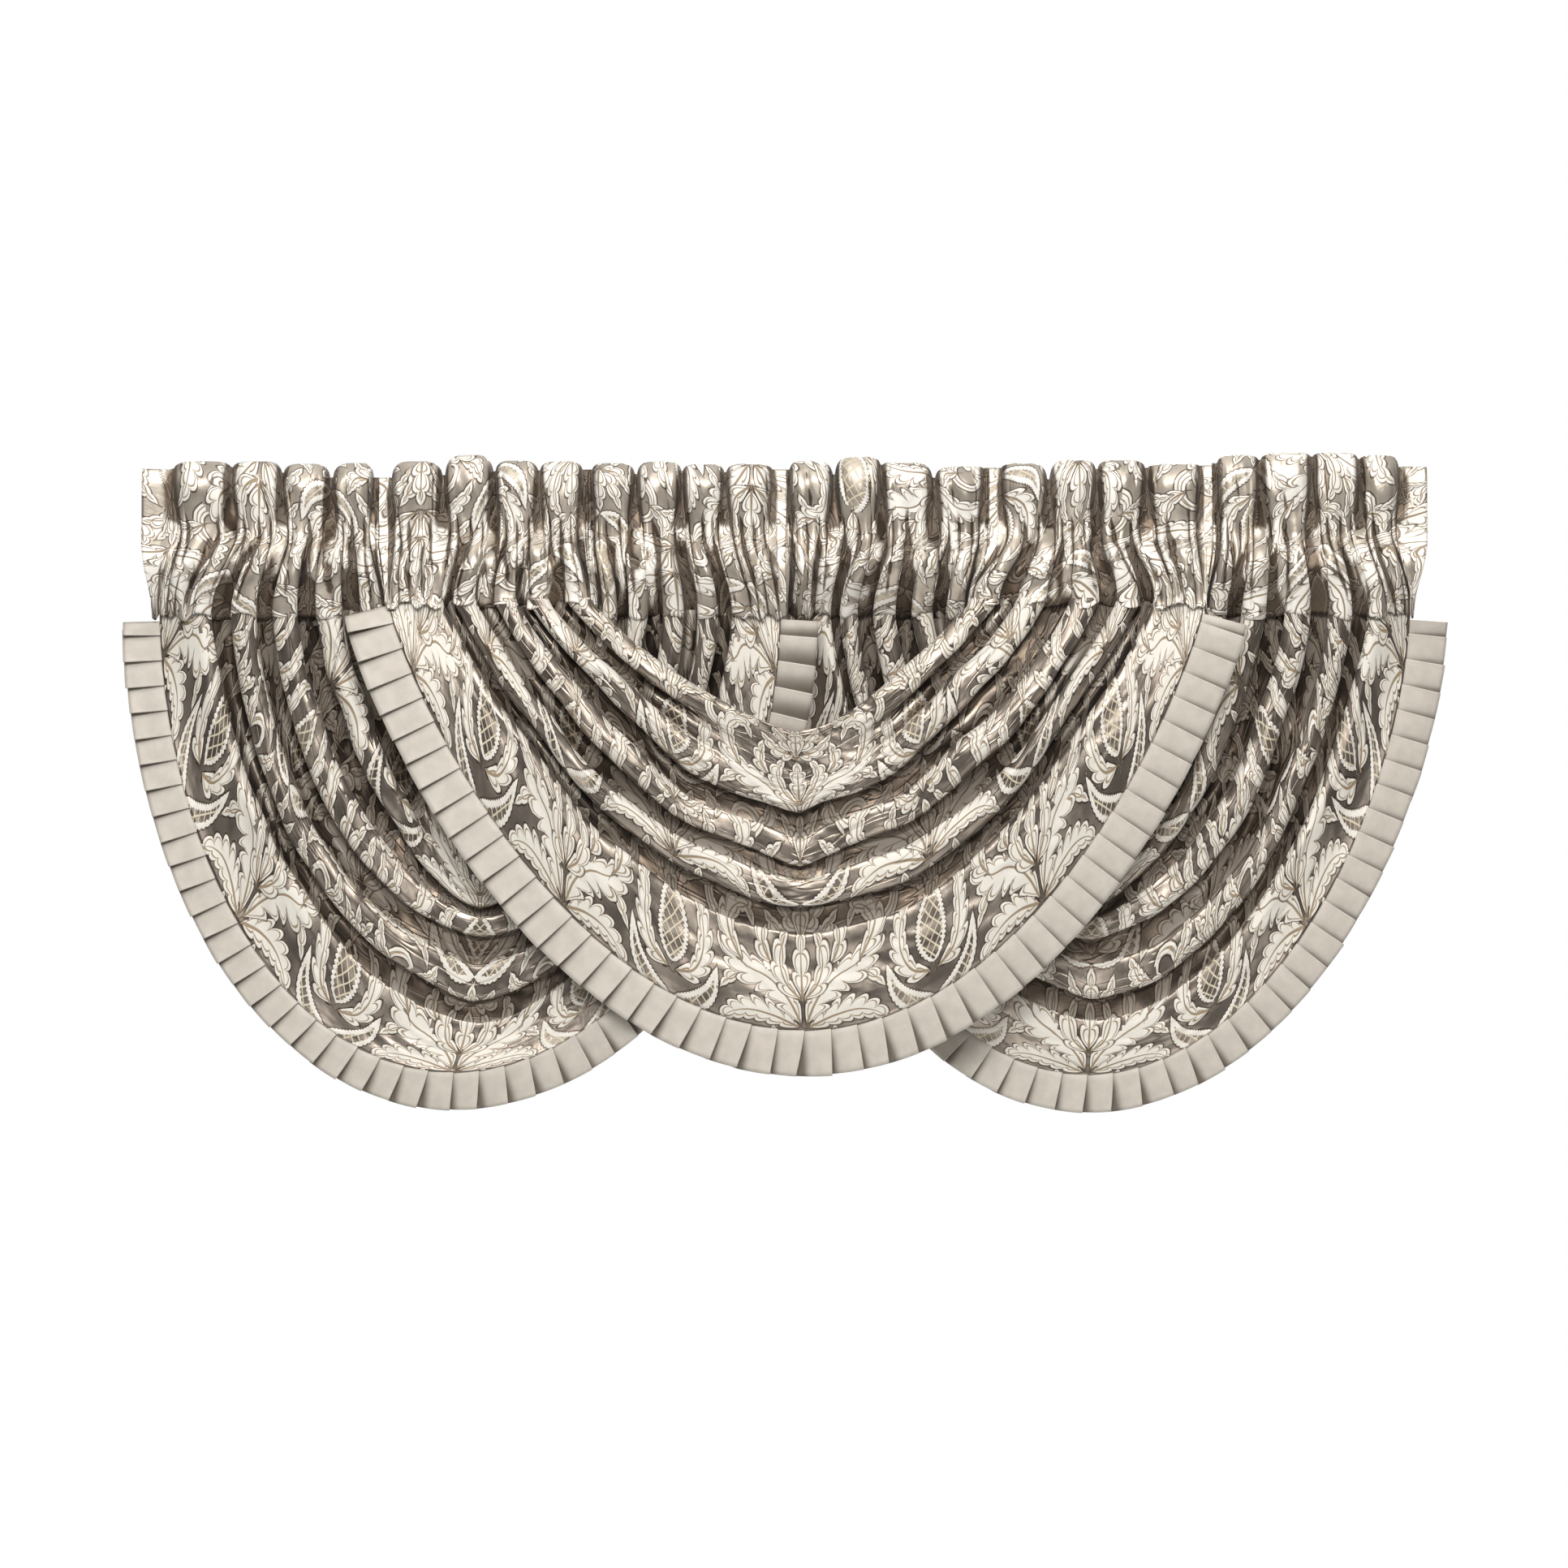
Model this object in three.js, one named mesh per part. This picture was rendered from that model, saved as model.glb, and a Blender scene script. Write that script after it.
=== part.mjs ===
// Three waterfall valances on one curtain rod. Each is a swag of damask that hangs in U-shaped folds
// from two gathered rod-pocket headings, with a knife-pleated satin ribbon along its curved edge.
// Millimetres, +Z up. X runs along the rod and -Y faces the room. The origin is on the rod's axis,
// midway along it.
import * as THREE from "three";

// Cloth
const DAMASK_THICKNESS = 2;
const RIBBON_THICKNESS = 1.4;
const SEWING_GAP = 0.3;

// Height of the stitch line between the rod pocket and the header, above the rod's axis
const STITCH_Z = 48;

// Folds: heights of the ridges over the valleys between them
const RISE_AT_SEAM = 20;
const RISE_HANGING = 28;
const SETTLE_DROP = 70;
const RIDGE_SHARE = 0.21;
const VALLEY_PLACE = { side: 0.5, axis: 0.22 };
const NECK_ROLL = 0.3;
const NECK_RELIEF = 0.45;
const WANDER = 4;

// Rod pocket and ruffled header, front to back
const POCKET_FRONT = -17;
const POCKET_BACK = 21;
const POCKET_HALF = 25;
const POCKET_ROUND = 0.74;
const LAYER_GAP = 4.6;
const HEADER_MIDDLE_Z = 96;
const TUFT_SHOULDER = 14;
const HEADING_GAP = 0.4;

// Pleated ribbon
const PLEAT_STEP = 5;
const PLEAT_RUN = 1.2;

// Facets
const STATIONS = 24;
const RIDGE_FACETS = [0, 0.15, 0.31, 0.69, 0.85];
const BORDER_FACETS = [0, 0.3, 0.65, 1];
const NECK_FACETS = [-1, -0.45];
const ARC_STEPS = 48;

// Fold lines of each swag, from its rolled neckline to its sewn edge. left and right: how far from the
// axis the line leaves the headings. sway: how far its lowest point lies from the axis. drop: how far that
// point hangs below the seam. bow: roundness of its U. vee: share of a straight V in it. low: share of the
// fold's height that is left at the axis. seam, hang and edge: depth of the valleys at the seam and below
// it, and of the sewn edge. flat: relief of the flat border at its sewn edge. start: where the ribbon
// starts below the seam.
const SWAGS = {
  left: {
    axis: -389,
    seamZ: -52,
    ribbon: 47,
    seam: { left: 10, right: 10 },
    hang: { left: 20, right: 20 },
    edge: { left: 16, right: -7 },
    flat: { left: 0.15, right: 0.8 },
    start: { left: 14, right: 12 },
    lines: [
      { left: 119, right: 172, sway: 12, drop: 297, bow: 1.6, vee: 0.2, low: 0.6 },
      { left: 173, right: 208, sway: 12, drop: 355, bow: 1.6, vee: 0.15, low: 0.45 },
      { left: 228, right: 252, sway: 12, drop: 393, bow: 1.35, vee: 0.05, low: 0.45 },
      { left: 278, right: 294, sway: 2, drop: 470, bow: 1.2, vee: 0.1, low: 0.4 },
      { left: 335, right: 337, sway: -8, drop: 525, bow: 1.4, vee: 0, low: 0.35 },
      { left: 384, right: 384, sway: -21, drop: 567, bow: 1.06, vee: 0, low: 1 },
    ],
  },
  centre: {
    axis: 15,
    seamZ: -38,
    ribbon: 57,
    seam: { left: -4, right: -4 },
    hang: { left: -22, right: -22 },
    edge: { left: -27, right: -27 },
    flat: { left: 0.85, right: 0.85 },
    start: { left: 16, right: 20 },
    lines: [
      { left: 270, right: 232, sway: -2, drop: 175, bow: 2, vee: 0.4, low: 0.8 },
      { left: 321, right: 289, sway: 3, drop: 249, bow: 2, vee: 0.3, low: 0.6 },
      { left: 358, right: 355, sway: 4, drop: 321, bow: 1.8, vee: 0.32, low: 0.4 },
      { left: 411, right: 409, sway: 4, drop: 367, bow: 2, vee: 0.05, low: 0.4 },
      { left: 449, right: 453, sway: 5, drop: 449, bow: 1.8, vee: 0.15, low: 0.35 },
      { left: 503, right: 502, sway: 9, drop: 527, bow: 1.63, vee: 0, low: 1 },
    ],
  },
  right: {
    axis: 386,
    seamZ: -50,
    ribbon: 48,
    seam: { left: 30, right: 10 },
    hang: { left: 34, right: 20 },
    edge: { left: 42, right: 16 },
    flat: { left: 0, right: 0.15 },
    start: { left: 2, right: 14 },
    lines: [
      { left: 175, right: 146, sway: -6, drop: 299, bow: 1.6, vee: 0.2, low: 0.6 },
      { left: 216, right: 192, sway: -6, drop: 357, bow: 1.6, vee: 0.15, low: 0.45 },
      { left: 263, right: 247, sway: -6, drop: 397, bow: 1.4, vee: 0.05, low: 0.45 },
      { left: 308, right: 299, sway: -7, drop: 473, bow: 1.3, vee: 0.1, low: 0.4 },
      { left: 339, right: 347, sway: -9, drop: 528, bow: 1.45, vee: 0, low: 0.35 },
      { left: 383, right: 387, sway: -11, drop: 573, bow: 1.19, vee: 0, low: 1 },
    ],
  },
};

// The gathered headings in their order along the rod. from and to: their ends. strip: width of the flat
// hemmed strip at the left and right end. lean: how far an end leans in at the seam. first: height of the
// left end. Each tuft of the header has its middle, half width and top, and the height of the dip after it.
const HEADINGS = [
  {
    swag: "left", side: "left", from: -794, to: -501, strip: { left: 38, right: 6 },
    lean: { left: 12, right: -10 }, first: 126,
    tufts: [
      { x: -720, half: 34, top: 135, after: 128 },
      { x: -651, half: 28, top: 135, after: 121 },
      { x: -593, half: 23, top: 132, after: 115 },
      { x: -526, half: 23, top: 133, after: 115 },
    ],
  },
  {
    swag: "centre", side: "left", from: -501, to: -243, strip: { left: 14, right: 6 },
    lean: { left: 9, right: -8 }, first: 115,
    tufts: [
      { x: -455, half: 26, top: 135, after: 118 },
      { x: -389, half: 24, top: 143, after: 123 },
      { x: -331, half: 21, top: 136, after: 124 },
      { x: -275, half: 22, top: 135, after: 125 },
    ],
  },
  {
    swag: "left", side: "right", from: -243, to: 2, strip: { left: 4, right: 16 },
    lean: { left: 10, right: 0 }, first: 125,
    tufts: [
      { x: -215, half: 24, top: 133, after: 120 },
      { x: -154, half: 23, top: 135, after: 124 },
      { x: -100, half: 22, top: 132, after: 122 },
      { x: -44, half: 25, top: 132, after: 125 },
    ],
  },
  {
    swag: "right", side: "left", from: 2, to: 252, strip: { left: 3, right: 6 },
    lean: { left: 0, right: 30 }, first: 125,
    tufts: [
      { x: 30, half: 25, top: 136, after: 119 },
      { x: 91, half: 25, top: 141, after: 131 },
      { x: 149, half: 26, top: 134, after: 115 },
      { x: 219, half: 26, top: 129, after: 127 },
    ],
  },
  {
    swag: "centre", side: "right", from: 252, to: 528, strip: { left: 14, right: 14 },
    lean: { left: -26, right: 9 }, first: 127,
    tufts: [
      { x: 294, half: 25, top: 133, after: 113 },
      { x: 356, half: 24, top: 137, after: 126 },
      { x: 415, half: 25, top: 137, after: 127 },
      { x: 483, half: 30, top: 132, after: 130 },
    ],
  },
  {
    swag: "right", side: "right", from: 528, to: 793, strip: { left: 5, right: 34 },
    lean: { left: -9.5, right: 16 }, first: 133,
    tufts: [
      { x: 558, half: 22, top: 143, after: 137 },
      { x: 618, half: 26, top: 146, after: 141 },
      { x: 681, half: 24, top: 146, after: 138 },
      { x: 735, half: 22, top: 143, after: 128 },
    ],
  },
];

const DAMASK_LOOK = { color: 0xa6998a, roughness: 0.5, metalness: 0.1 };
const RIBBON_LOOK = { color: 0xd7cfc1, roughness: 0.55, metalness: 0.05 };

const { lerp, clamp, smoothstep } = THREE.MathUtils;

// A value of the fold table at any place between its lines, smooth from line to line.
function tableValue(lines, column, place) {
  const last = lines.length - 1;
  const k = clamp(Math.floor(place), 0, last - 1);
  const t = place - k;
  const p1 = lines[k][column];
  const p2 = lines[k + 1][column];
  if (place < 0) return p1 + (p2 - p1) * t;
  const p0 = k > 0 ? lines[k - 1][column] : 2 * p1 - p2;
  const p3 = k + 2 <= last ? lines[k + 2][column] : 2 * p2 - p1;
  const slope1 = (p2 - p0) / 2;
  const slope2 = (p3 - p1) / 2;
  const bend = 2 * (p1 - p2) + slope1 + slope2;
  return p1 + slope1 * t + (3 * (p2 - p1) - 2 * slope1 - slope2) * t * t + bend * t ** 3;
}

// The U of one fold line, half of it: distance from the axis and drop at an angle from the axis.
function uPoint(line, reach, angle) {
  const c = Math.max(Math.cos(angle), 0);
  const down = line.drop * lerp(c ** line.bow, 1 - Math.sin(angle), line.vee);
  return { out: reach * Math.sin(angle) + line.shift * c * c, down };
}

// The same U by its share of the way from the axis (0) to the heading (1), measured along the line.
function uPointAlong(line, reach, share) {
  const points = [];
  const lengths = [0];
  for (let i = 0; i <= ARC_STEPS; i += 1) {
    points.push(uPoint(line, reach, (Math.PI / 2) * (i / ARC_STEPS)));
    if (i > 0) {
      const step = Math.hypot(points[i].out - points[i - 1].out, points[i].down - points[i - 1].down);
      lengths.push(lengths[i - 1] + step);
    }
  }
  const wanted = share * lengths[ARC_STEPS];
  let i = 1;
  while (i < ARC_STEPS && lengths[i] < wanted) i += 1;
  const t = (wanted - lengths[i - 1]) / (lengths[i] - lengths[i - 1]);
  return {
    out: lerp(points[i - 1].out, points[i].out, t),
    down: lerp(points[i - 1].down, points[i].down, t),
  };
}

// How much of a fold's height stands at a share of the way from one ridge to the next.
function ridgeRelief(share) {
  return 1 / (1 + (Math.min(share, 1 - share) / RIDGE_SHARE) ** 4);
}

// Towards the axis the folds hang over, so each valley lies close under the ridge above it.
function sagged(share, station) {
  const nearAxis = 1 - smoothstep(Math.abs(station), 0.05, 0.5);
  const valley = lerp(VALLEY_PLACE.side, VALLEY_PLACE.axis, nearAxis);
  return share < 0.5 ? 2 * share * valley : valley + (2 * share - 1) * (1 - valley);
}

// A point of the swag's cloth. place counts fold lines from the neckline, with the share between two of
// them taken across the folded profile. station runs from -1 at the left heading to 1 at the right one.
function swagPoint(swag, place, station) {
  const last = swag.lines.length - 1;
  const k = clamp(Math.floor(place), 0, last - 1);
  const share = place - k;
  const onBorder = place >= last - 1;
  const onNeck = place < 0;
  const between = onBorder || onNeck ? share : sagged(share, station);
  const at = k + between;
  const side = station < 0 ? "left" : "right";
  const away = Math.abs(station);

  const line = {};
  for (const column of ["sway", "drop", "bow", "vee", "low"]) {
    line[column] = tableValue(swag.lines, column, at);
  }
  line.shift = side === "left" ? -line.sway : line.sway;
  const reach = tableValue(swag.lines, side, at);
  const u = uPointAlong(line, reach, away);

  let relief = ridgeRelief(share);
  if (onNeck) relief = lerp(1, NECK_RELIEF, (share / NECK_ROLL) ** 2);
  if (onBorder) relief = lerp(1, swag.flat[side], share);

  const settled = smoothstep(u.down, 0, SETTLE_DROP);
  const nearAxis = 1 - smoothstep(away, 0.05, 0.6);
  const rise = lerp(RISE_AT_SEAM, RISE_HANGING, settled) * lerp(1, line.low, nearAxis);
  const toRight = smoothstep(station, -0.35, 0.35);
  const valleyAtSeam = lerp(swag.seam.left, swag.seam.right, toRight);
  const valleyHanging = lerp(swag.hang.left, swag.hang.right, toRight);
  let depth = lerp(valleyAtSeam, valleyHanging, settled) - rise * relief;
  if (onBorder) {
    const edge = lerp(swag.edge.left, swag.edge.right, toRight);
    depth = lerp(depth, edge, share * share * smoothstep(u.down, 0, SETTLE_DROP / 2));
  }

  const loose = settled * (1 - smoothstep(at, last - 1.5, last - 0.2));
  const wander = WANDER * loose * Math.sin(5.2 * station + 1.9 * at);
  return new THREE.Vector3(
    swag.axis + (side === "left" ? -u.out : u.out),
    depth,
    swag.seamZ - SEWING_GAP / 2 - Math.max(u.down + wander, 0),
  );
}

// A closed sheet of even thickness around the middle surface given by rows of points.
function sheetGeometry(rows, thickness) {
  const across = rows[0].length;
  const count = rows.length * across;
  const positions = [];
  const along = new THREE.Vector3();
  const over = new THREE.Vector3();
  for (const sign of [1, -1]) {
    rows.forEach((row, i) => {
      row.forEach((point, j) => {
        along.subVectors(rows[Math.min(i + 1, rows.length - 1)][j], rows[Math.max(i - 1, 0)][j]);
        over.subVectors(row[Math.min(j + 1, across - 1)], row[Math.max(j - 1, 0)]);
        const normal = along.clone().cross(over).normalize();
        positions.push(...point.clone().addScaledVector(normal, (sign * thickness) / 2).toArray());
      });
    });
  }
  const index = [];
  const quad = (a, b, c, d) => index.push(a, b, c, a, c, d);
  for (let i = 0; i + 1 < rows.length; i += 1) {
    for (let j = 0; j + 1 < across; j += 1) {
      const a = i * across + j;
      quad(a, a + across, a + across + 1, a + 1);
      quad(count + a, count + a + 1, count + a + across + 1, count + a + across);
    }
  }
  const rim = [];
  for (let j = 0; j + 1 < across; j += 1) rim.push(j);
  for (let i = 0; i + 1 < rows.length; i += 1) rim.push(i * across + across - 1);
  for (let j = across - 1; j > 0; j -= 1) rim.push((rows.length - 1) * across + j);
  for (let i = rows.length - 1; i > 0; i -= 1) rim.push(i * across);
  rim.forEach((a, i) => {
    const b = rim[(i + 1) % rim.length];
    quad(a, b, count + b, count + a);
  });
  const geometry = new THREE.BufferGeometry();
  geometry.setAttribute("position", new THREE.Float32BufferAttribute(positions, 3));
  geometry.setIndex(index);
  geometry.computeVertexNormals();
  return geometry;
}

// Cuts a piece off straight where it meets its neighbours, so that it stays within its own bounds.
function cutStraight(geometry, { left = -Infinity, right = Infinity, low = -Infinity, high = Infinity }) {
  const position = geometry.getAttribute("position");
  for (let i = 0; i < position.count; i += 1) {
    position.setX(i, clamp(position.getX(i), left, right));
    position.setZ(i, clamp(position.getZ(i), low, high));
  }
  geometry.computeVertexNormals();
  return geometry;
}

function bodyGeometry(swag) {
  const ridges = swag.lines.length - 2;
  const places = NECK_FACETS.map((share) => share * NECK_ROLL);
  for (let k = 0; k < ridges; k += 1) places.push(...RIDGE_FACETS.map((share) => k + share));
  places.push(...BORDER_FACETS.map((share) => ridges + share));
  const rows = places.map((place) => {
    const row = [];
    for (let i = 0; i <= STATIONS; i += 1) row.push(swagPoint(swag, place, (2 * i) / STATIONS - 1));
    return row;
  });
  return cutStraight(sheetGeometry(rows, DAMASK_THICKNESS), { high: swag.seamZ - SEWING_GAP / 2 });
}

// Where the heading's columns of cloth are gathered into the seam, from the valance's outer edge to its
// neckline: the ends of the heading, the flat border, and each ridge and valley of the swag's folds.
function seamColumns(heading) {
  const swag = SWAGS[heading.swag];
  const reaches = swag.lines.map((line) => line[heading.side]);
  const outwards = heading.side === "left" ? -1 : 1;
  const flat = swag.flat[heading.side];
  const border = reaches.length - 2;
  const columns = [];
  const add = (reach, fold) => columns.push({ x: swag.axis + outwards * reach, fold });
  for (const share of [1, 2 / 3, 1 / 3]) {
    add(lerp(reaches[border], reaches[border + 1], share), lerp(1, flat, share));
  }
  for (let k = border; k > 0; k -= 1) {
    add(reaches[k], 1);
    add((reaches[k] + reaches[k - 1]) / 2, ridgeRelief(0.5));
  }
  add(reaches[0], 1);
  add(reaches[0] - NECK_ROLL * (reaches[1] - reaches[0]), NECK_RELIEF);
  if (heading.side === "right") columns.reverse();
  const gap = HEADING_GAP / 2;
  const ends = [heading.from + heading.lean.left + gap, heading.to - heading.lean.right - gap];
  const first = { x: ends[0], fold: columns[0].fold };
  const last = { x: ends[1], fold: columns[columns.length - 1].fold };
  return [first, ...columns, last];
}

// The same columns where they stand up in the header: the flat ends, and each tuft and the dip after it.
function headerColumns(heading) {
  const { from, to, strip, first, tufts } = heading;
  const start = from + HEADING_GAP / 2;
  const columns = [{ x: start, top: first, swell: 0 }, { x: from + strip.left, top: first, swell: 0 }];
  tufts.forEach((tuft, i) => {
    for (const side of [-1, 1]) {
      columns.push({ x: tuft.x + side * 0.6 * tuft.half, top: tuft.top, swell: 1 });
    }
    const next = tufts[i + 1];
    const dip = next ? (tuft.x + tuft.half + next.x - next.half) / 2 : to - strip.right;
    columns.push({ x: dip, top: tuft.after, swell: 0 });
  });
  columns.push({ x: to - HEADING_GAP / 2, top: tufts[tufts.length - 1].after, swell: 0 });
  return columns;
}

// One column's loop of cloth: up the front from the seam, over the top of the header and down the back.
// The stitch line and the seam hold front and back together, and the rod's channel lies between them.
function headingLoop(heading, header, seam) {
  const { seamZ, seam: valley } = SWAGS[heading.swag];
  const { swell, top } = header;
  const gathered = valley[heading.side] - RISE_AT_SEAM * seam.fold;
  const stitch = -3 - 6 * swell;
  const front = POCKET_FRONT - 7 * seam.fold - 3 * swell;
  const section = [
    { y: gathered, z: seamZ },
    { y: lerp(gathered, front, POCKET_ROUND), z: -POCKET_HALF },
    { y: front, z: 2 },
    { y: lerp(stitch, front, POCKET_ROUND), z: POCKET_HALF },
    { y: stitch, z: STITCH_Z },
    { y: -23 * swell, z: HEADER_MIDDLE_Z },
    { y: 1 - 17 * swell, z: top - TUFT_SHOULDER },
    { y: 5, z: top },
    { y: 9 + 9 * swell, z: top - TUFT_SHOULDER },
    { y: 8 + 11 * swell, z: HEADER_MIDDLE_Z },
    { y: stitch + LAYER_GAP, z: STITCH_Z },
    { y: lerp(stitch + LAYER_GAP, POCKET_BACK, POCKET_ROUND), z: POCKET_HALF },
    { y: POCKET_BACK, z: 2 },
    { y: lerp(gathered + LAYER_GAP, POCKET_BACK, POCKET_ROUND), z: -POCKET_HALF },
    { y: gathered + LAYER_GAP, z: seamZ },
  ];
  return section.map(({ y, z }) => {
    const down = clamp((STITCH_Z - z) / (STITCH_Z - seamZ), 0, 1);
    return new THREE.Vector3(lerp(header.x, seam.x, down), y, z);
  });
}

function headingGeometry(heading) {
  const seam = seamColumns(heading);
  const loops = headerColumns(heading).map((column, i) => headingLoop(heading, column, seam[i]));
  return cutStraight(sheetGeometry(loops, DAMASK_THICKNESS), {
    left: heading.from + Math.min(heading.lean.left, 0) + HEADING_GAP / 2,
    right: heading.to - Math.min(heading.lean.right, 0) - HEADING_GAP / 2,
    low: SWAGS[heading.swag].seamZ + SEWING_GAP / 2,
  });
}

// The ribbon runs along the swag's sewn edge, with two pleats to a station. Each pleat slants forward
// along its length and laps the next one with a step.
function ribbonGeometry(swag) {
  const hem = swag.lines.length - 1;
  const stitches = [];
  for (let i = 0; i <= STATIONS; i += 1) stitches.push(swagPoint(swag, hem, (2 * i) / STATIONS - 1));
  const sewnPoint = (at) => {
    const i = clamp(Math.floor(at), 0, STATIONS - 1);
    return stitches[i].clone().lerp(stitches[i + 1], at - i);
  };
  const spacing = stitches[0].distanceTo(stitches[1]);
  const first = swag.start.left / spacing;
  const last = STATIONS - swag.start.right / spacing;
  const run = PLEAT_RUN / 2 / spacing;
  const rows = [];
  const addRow = (at, forward) => {
    const sewn = sewnPoint(at);
    const along = sewnPoint(Math.min(at + 0.5, STATIONS)).sub(sewnPoint(Math.max(at - 0.5, 0)));
    const out = new THREE.Vector3(along.z, 0, -along.x).normalize();
    const row = [2 * SEWING_GAP, swag.ribbon].map((width) => sewn.clone().addScaledVector(out, width));
    rows.push(row.map((point) => point.setY(point.y + PLEAT_STEP / 2 - forward)));
  };
  for (let i = 0; i < 2 * STATIONS; i += 1) {
    addRow(i === 0 ? first : i / 2 + run, 0);
    addRow(i === 2 * STATIONS - 1 ? last : (i + 1) / 2 - run, PLEAT_STEP);
  }
  return sheetGeometry(rows, RIBBON_THICKNESS);
}

function piece(name, geometry, look) {
  const mesh = new THREE.Mesh(geometry, new THREE.MeshStandardMaterial(look));
  mesh.name = name;
  return mesh;
}

const valances = new THREE.Group();
for (const [name, swag] of Object.entries(SWAGS)) {
  const valance = new THREE.Group();
  valance.add(piece(`${name}_body`, bodyGeometry(swag), DAMASK_LOOK));
  for (const heading of HEADINGS.filter((each) => each.swag === name)) {
    valance.add(piece(`${name}_heading_${heading.side}`, headingGeometry(heading), DAMASK_LOOK));
  }
  valance.add(piece(`${name}_trim`, ribbonGeometry(swag), RIBBON_LOOK));
  valances.add(valance);
}

export default valances;
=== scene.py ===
"""A row of waterfall valances: draped damask swags, gathered headings and pleated ribbon edges."""
import math

import bpy
import numpy as np
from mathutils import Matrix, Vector


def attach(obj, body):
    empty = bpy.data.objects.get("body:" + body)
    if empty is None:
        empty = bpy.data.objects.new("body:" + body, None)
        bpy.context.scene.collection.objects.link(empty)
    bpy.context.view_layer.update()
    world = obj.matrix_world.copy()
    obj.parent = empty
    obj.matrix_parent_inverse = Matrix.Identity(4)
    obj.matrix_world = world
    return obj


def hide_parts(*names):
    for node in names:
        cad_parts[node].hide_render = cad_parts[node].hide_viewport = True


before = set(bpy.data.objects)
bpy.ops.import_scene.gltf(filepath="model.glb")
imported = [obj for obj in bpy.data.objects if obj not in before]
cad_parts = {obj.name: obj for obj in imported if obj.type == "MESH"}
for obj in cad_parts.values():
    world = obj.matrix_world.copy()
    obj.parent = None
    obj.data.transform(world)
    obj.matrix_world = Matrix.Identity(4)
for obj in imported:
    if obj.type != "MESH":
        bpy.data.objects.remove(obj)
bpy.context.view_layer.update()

# Sizes are in millimetres and become metres where a mesh is made.
MM = 0.001

# Cloth
DAMASK_THICKNESS = 1.2
RIBBON_THICKNESS = 0.5
SEWING_GAP = 0.3

# Folds of a swag, between its fold lines: 0 is the neckline, FOLDS the last ridge and SEWN_EDGE the hem.
# A height is 0 in a valley and 1 on a ridge; a station is -1 at the left heading and 1 at the right.
FOLDS = 4
SEWN_EDGE = 5
RISE_AT_SEAM = 26
RISE_HANGING = 35
RISE_AT_AXIS = 0.8
RISE_UNEVEN = 0.1
RIDGE_GAIN = [1, 1, 1, 1, 0.8, 0.8]
SETTLE_DROP = 120
BORDER_SETTLE = 1.7
BACK_AT_SEAM = 4
BACK_HANGING = {"left": 10, "centre": 6, "right": 10}
BACK_LOST_AT_AXIS = 0.7
VALLEY_AT_SIDE = 0.5
VALLEY_AT_AXIS = 0.22
VALLEY_FLAT = 0.6
ROPE_HALF = 0.285
ROPE_PART = 0.63
ROPE_ROUND = 0.72
ROPE_TURN = math.radians(124)
NECK_TURN = math.radians(140)
NECK_BAND = 0.16
NECK_FLAT = 1.04
NECK_REACH = 0.3
NECK_FALL = 0.55
COWL_REACH = {"left": (0.05, 0.45), "centre": (0.08, 0.62), "right": (0.05, 0.45)}
SMALL_FOLD = 0.5
SMALL_FOLD_HALF = 0.085
DRIFT = 0.08
WANDER = 4
CRUMPLE = 1.3
CREASE = 0.9
EDGE_DROP = 35
SEAM_TUCK = 4
SEAM_TUCK_DROP = 9

# Headings: a section up the front, over the header and down the back. Header depths, front to back, are
# those between the tufts and how far a tuft swells. A lift is the most that a fold stands out.
LAST_COLUMN = 14
STITCH_Z = 48
STITCH_DEPTH = -3
STITCH_SWELL = 6
POCKET_FRONT = -17
POCKET_SWELL = 3
POCKET_BACK = 21
POCKET_HALF = 25
POCKET_MIDDLE_Z = 2
POCKET_ROUND = 0.74
POCKET_LOW_ROUND = 0.56
LAYER_GAP = 4.6
SECTION_POINT_ON_TOP = 7
SEAM_FORWARD = 1.5
HEADER_MIDDLE_Z = 96
HEADER_DEPTHS = [(0, -21), (1, -17), (5, 0), (9, 9), (8, 11)]
TUFT_SHOULDER = 14
TUFT_FLAT = 0.6
TUFT_GAP, TUFT_REST = 0.07, 0.93
TUFT_NECK = 0.17
HEADING_GAP = 0.4
WIDE_STRIP = 10
PINCH_HALF = 16
LIFT = {"stitch": 8, "roll": 19, "below": 4.5, "seam": 14, "crumple": 2.4, "fine": 1.5, "tuft": 5}
BACK_LIFT = 0.35
TUCK = 26
PATTERN_SLANT = 0.3
PATTERN_WAVE = 14

# Ribbon: knife pleats. Rows under the pleat before have a share of the lap and a height; rows past the fold
# have a distance past it, a share of the lap and a height.
PLEATS = 48
PLEAT_LAP = 9
LAP_MOST = 0.4
PLEAT_UNDER = [(1, -2.8), (0.4, -2.4)]
PLEAT_PANEL = (-1.9, 3.0)
PLEAT_FOLD = 3.2
PLEAT_TURN = [(0.5, 0, 2.7), (0.2, 0, 2.0), (0, 0.5, 0.4), (0, 0.92, -1.2), (0, 1.05, -1.8), (0, 1.06, -2.3)]
PLEAT_SEWN_UNDER = 3
PLEAT_BACK_AT_SEAM = 3.4
PLEAT_BOW = 0.7
PLEAT_OPENING = 1.3
INNER_RIBBON_X = -120
HEM_REACH = 12

# Facets
STATIONS = 260
FOLD_ROWS = 24
BORDER_ROWS = 20
NECK_ROWS = 7
COLUMN_STEPS = 10
SECTION_STEPS = 6
ARC_STEPS = 96
PANEL_STEPS = 9
RIBBON_STEPS = 10
HEM_STEPS = 400

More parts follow.
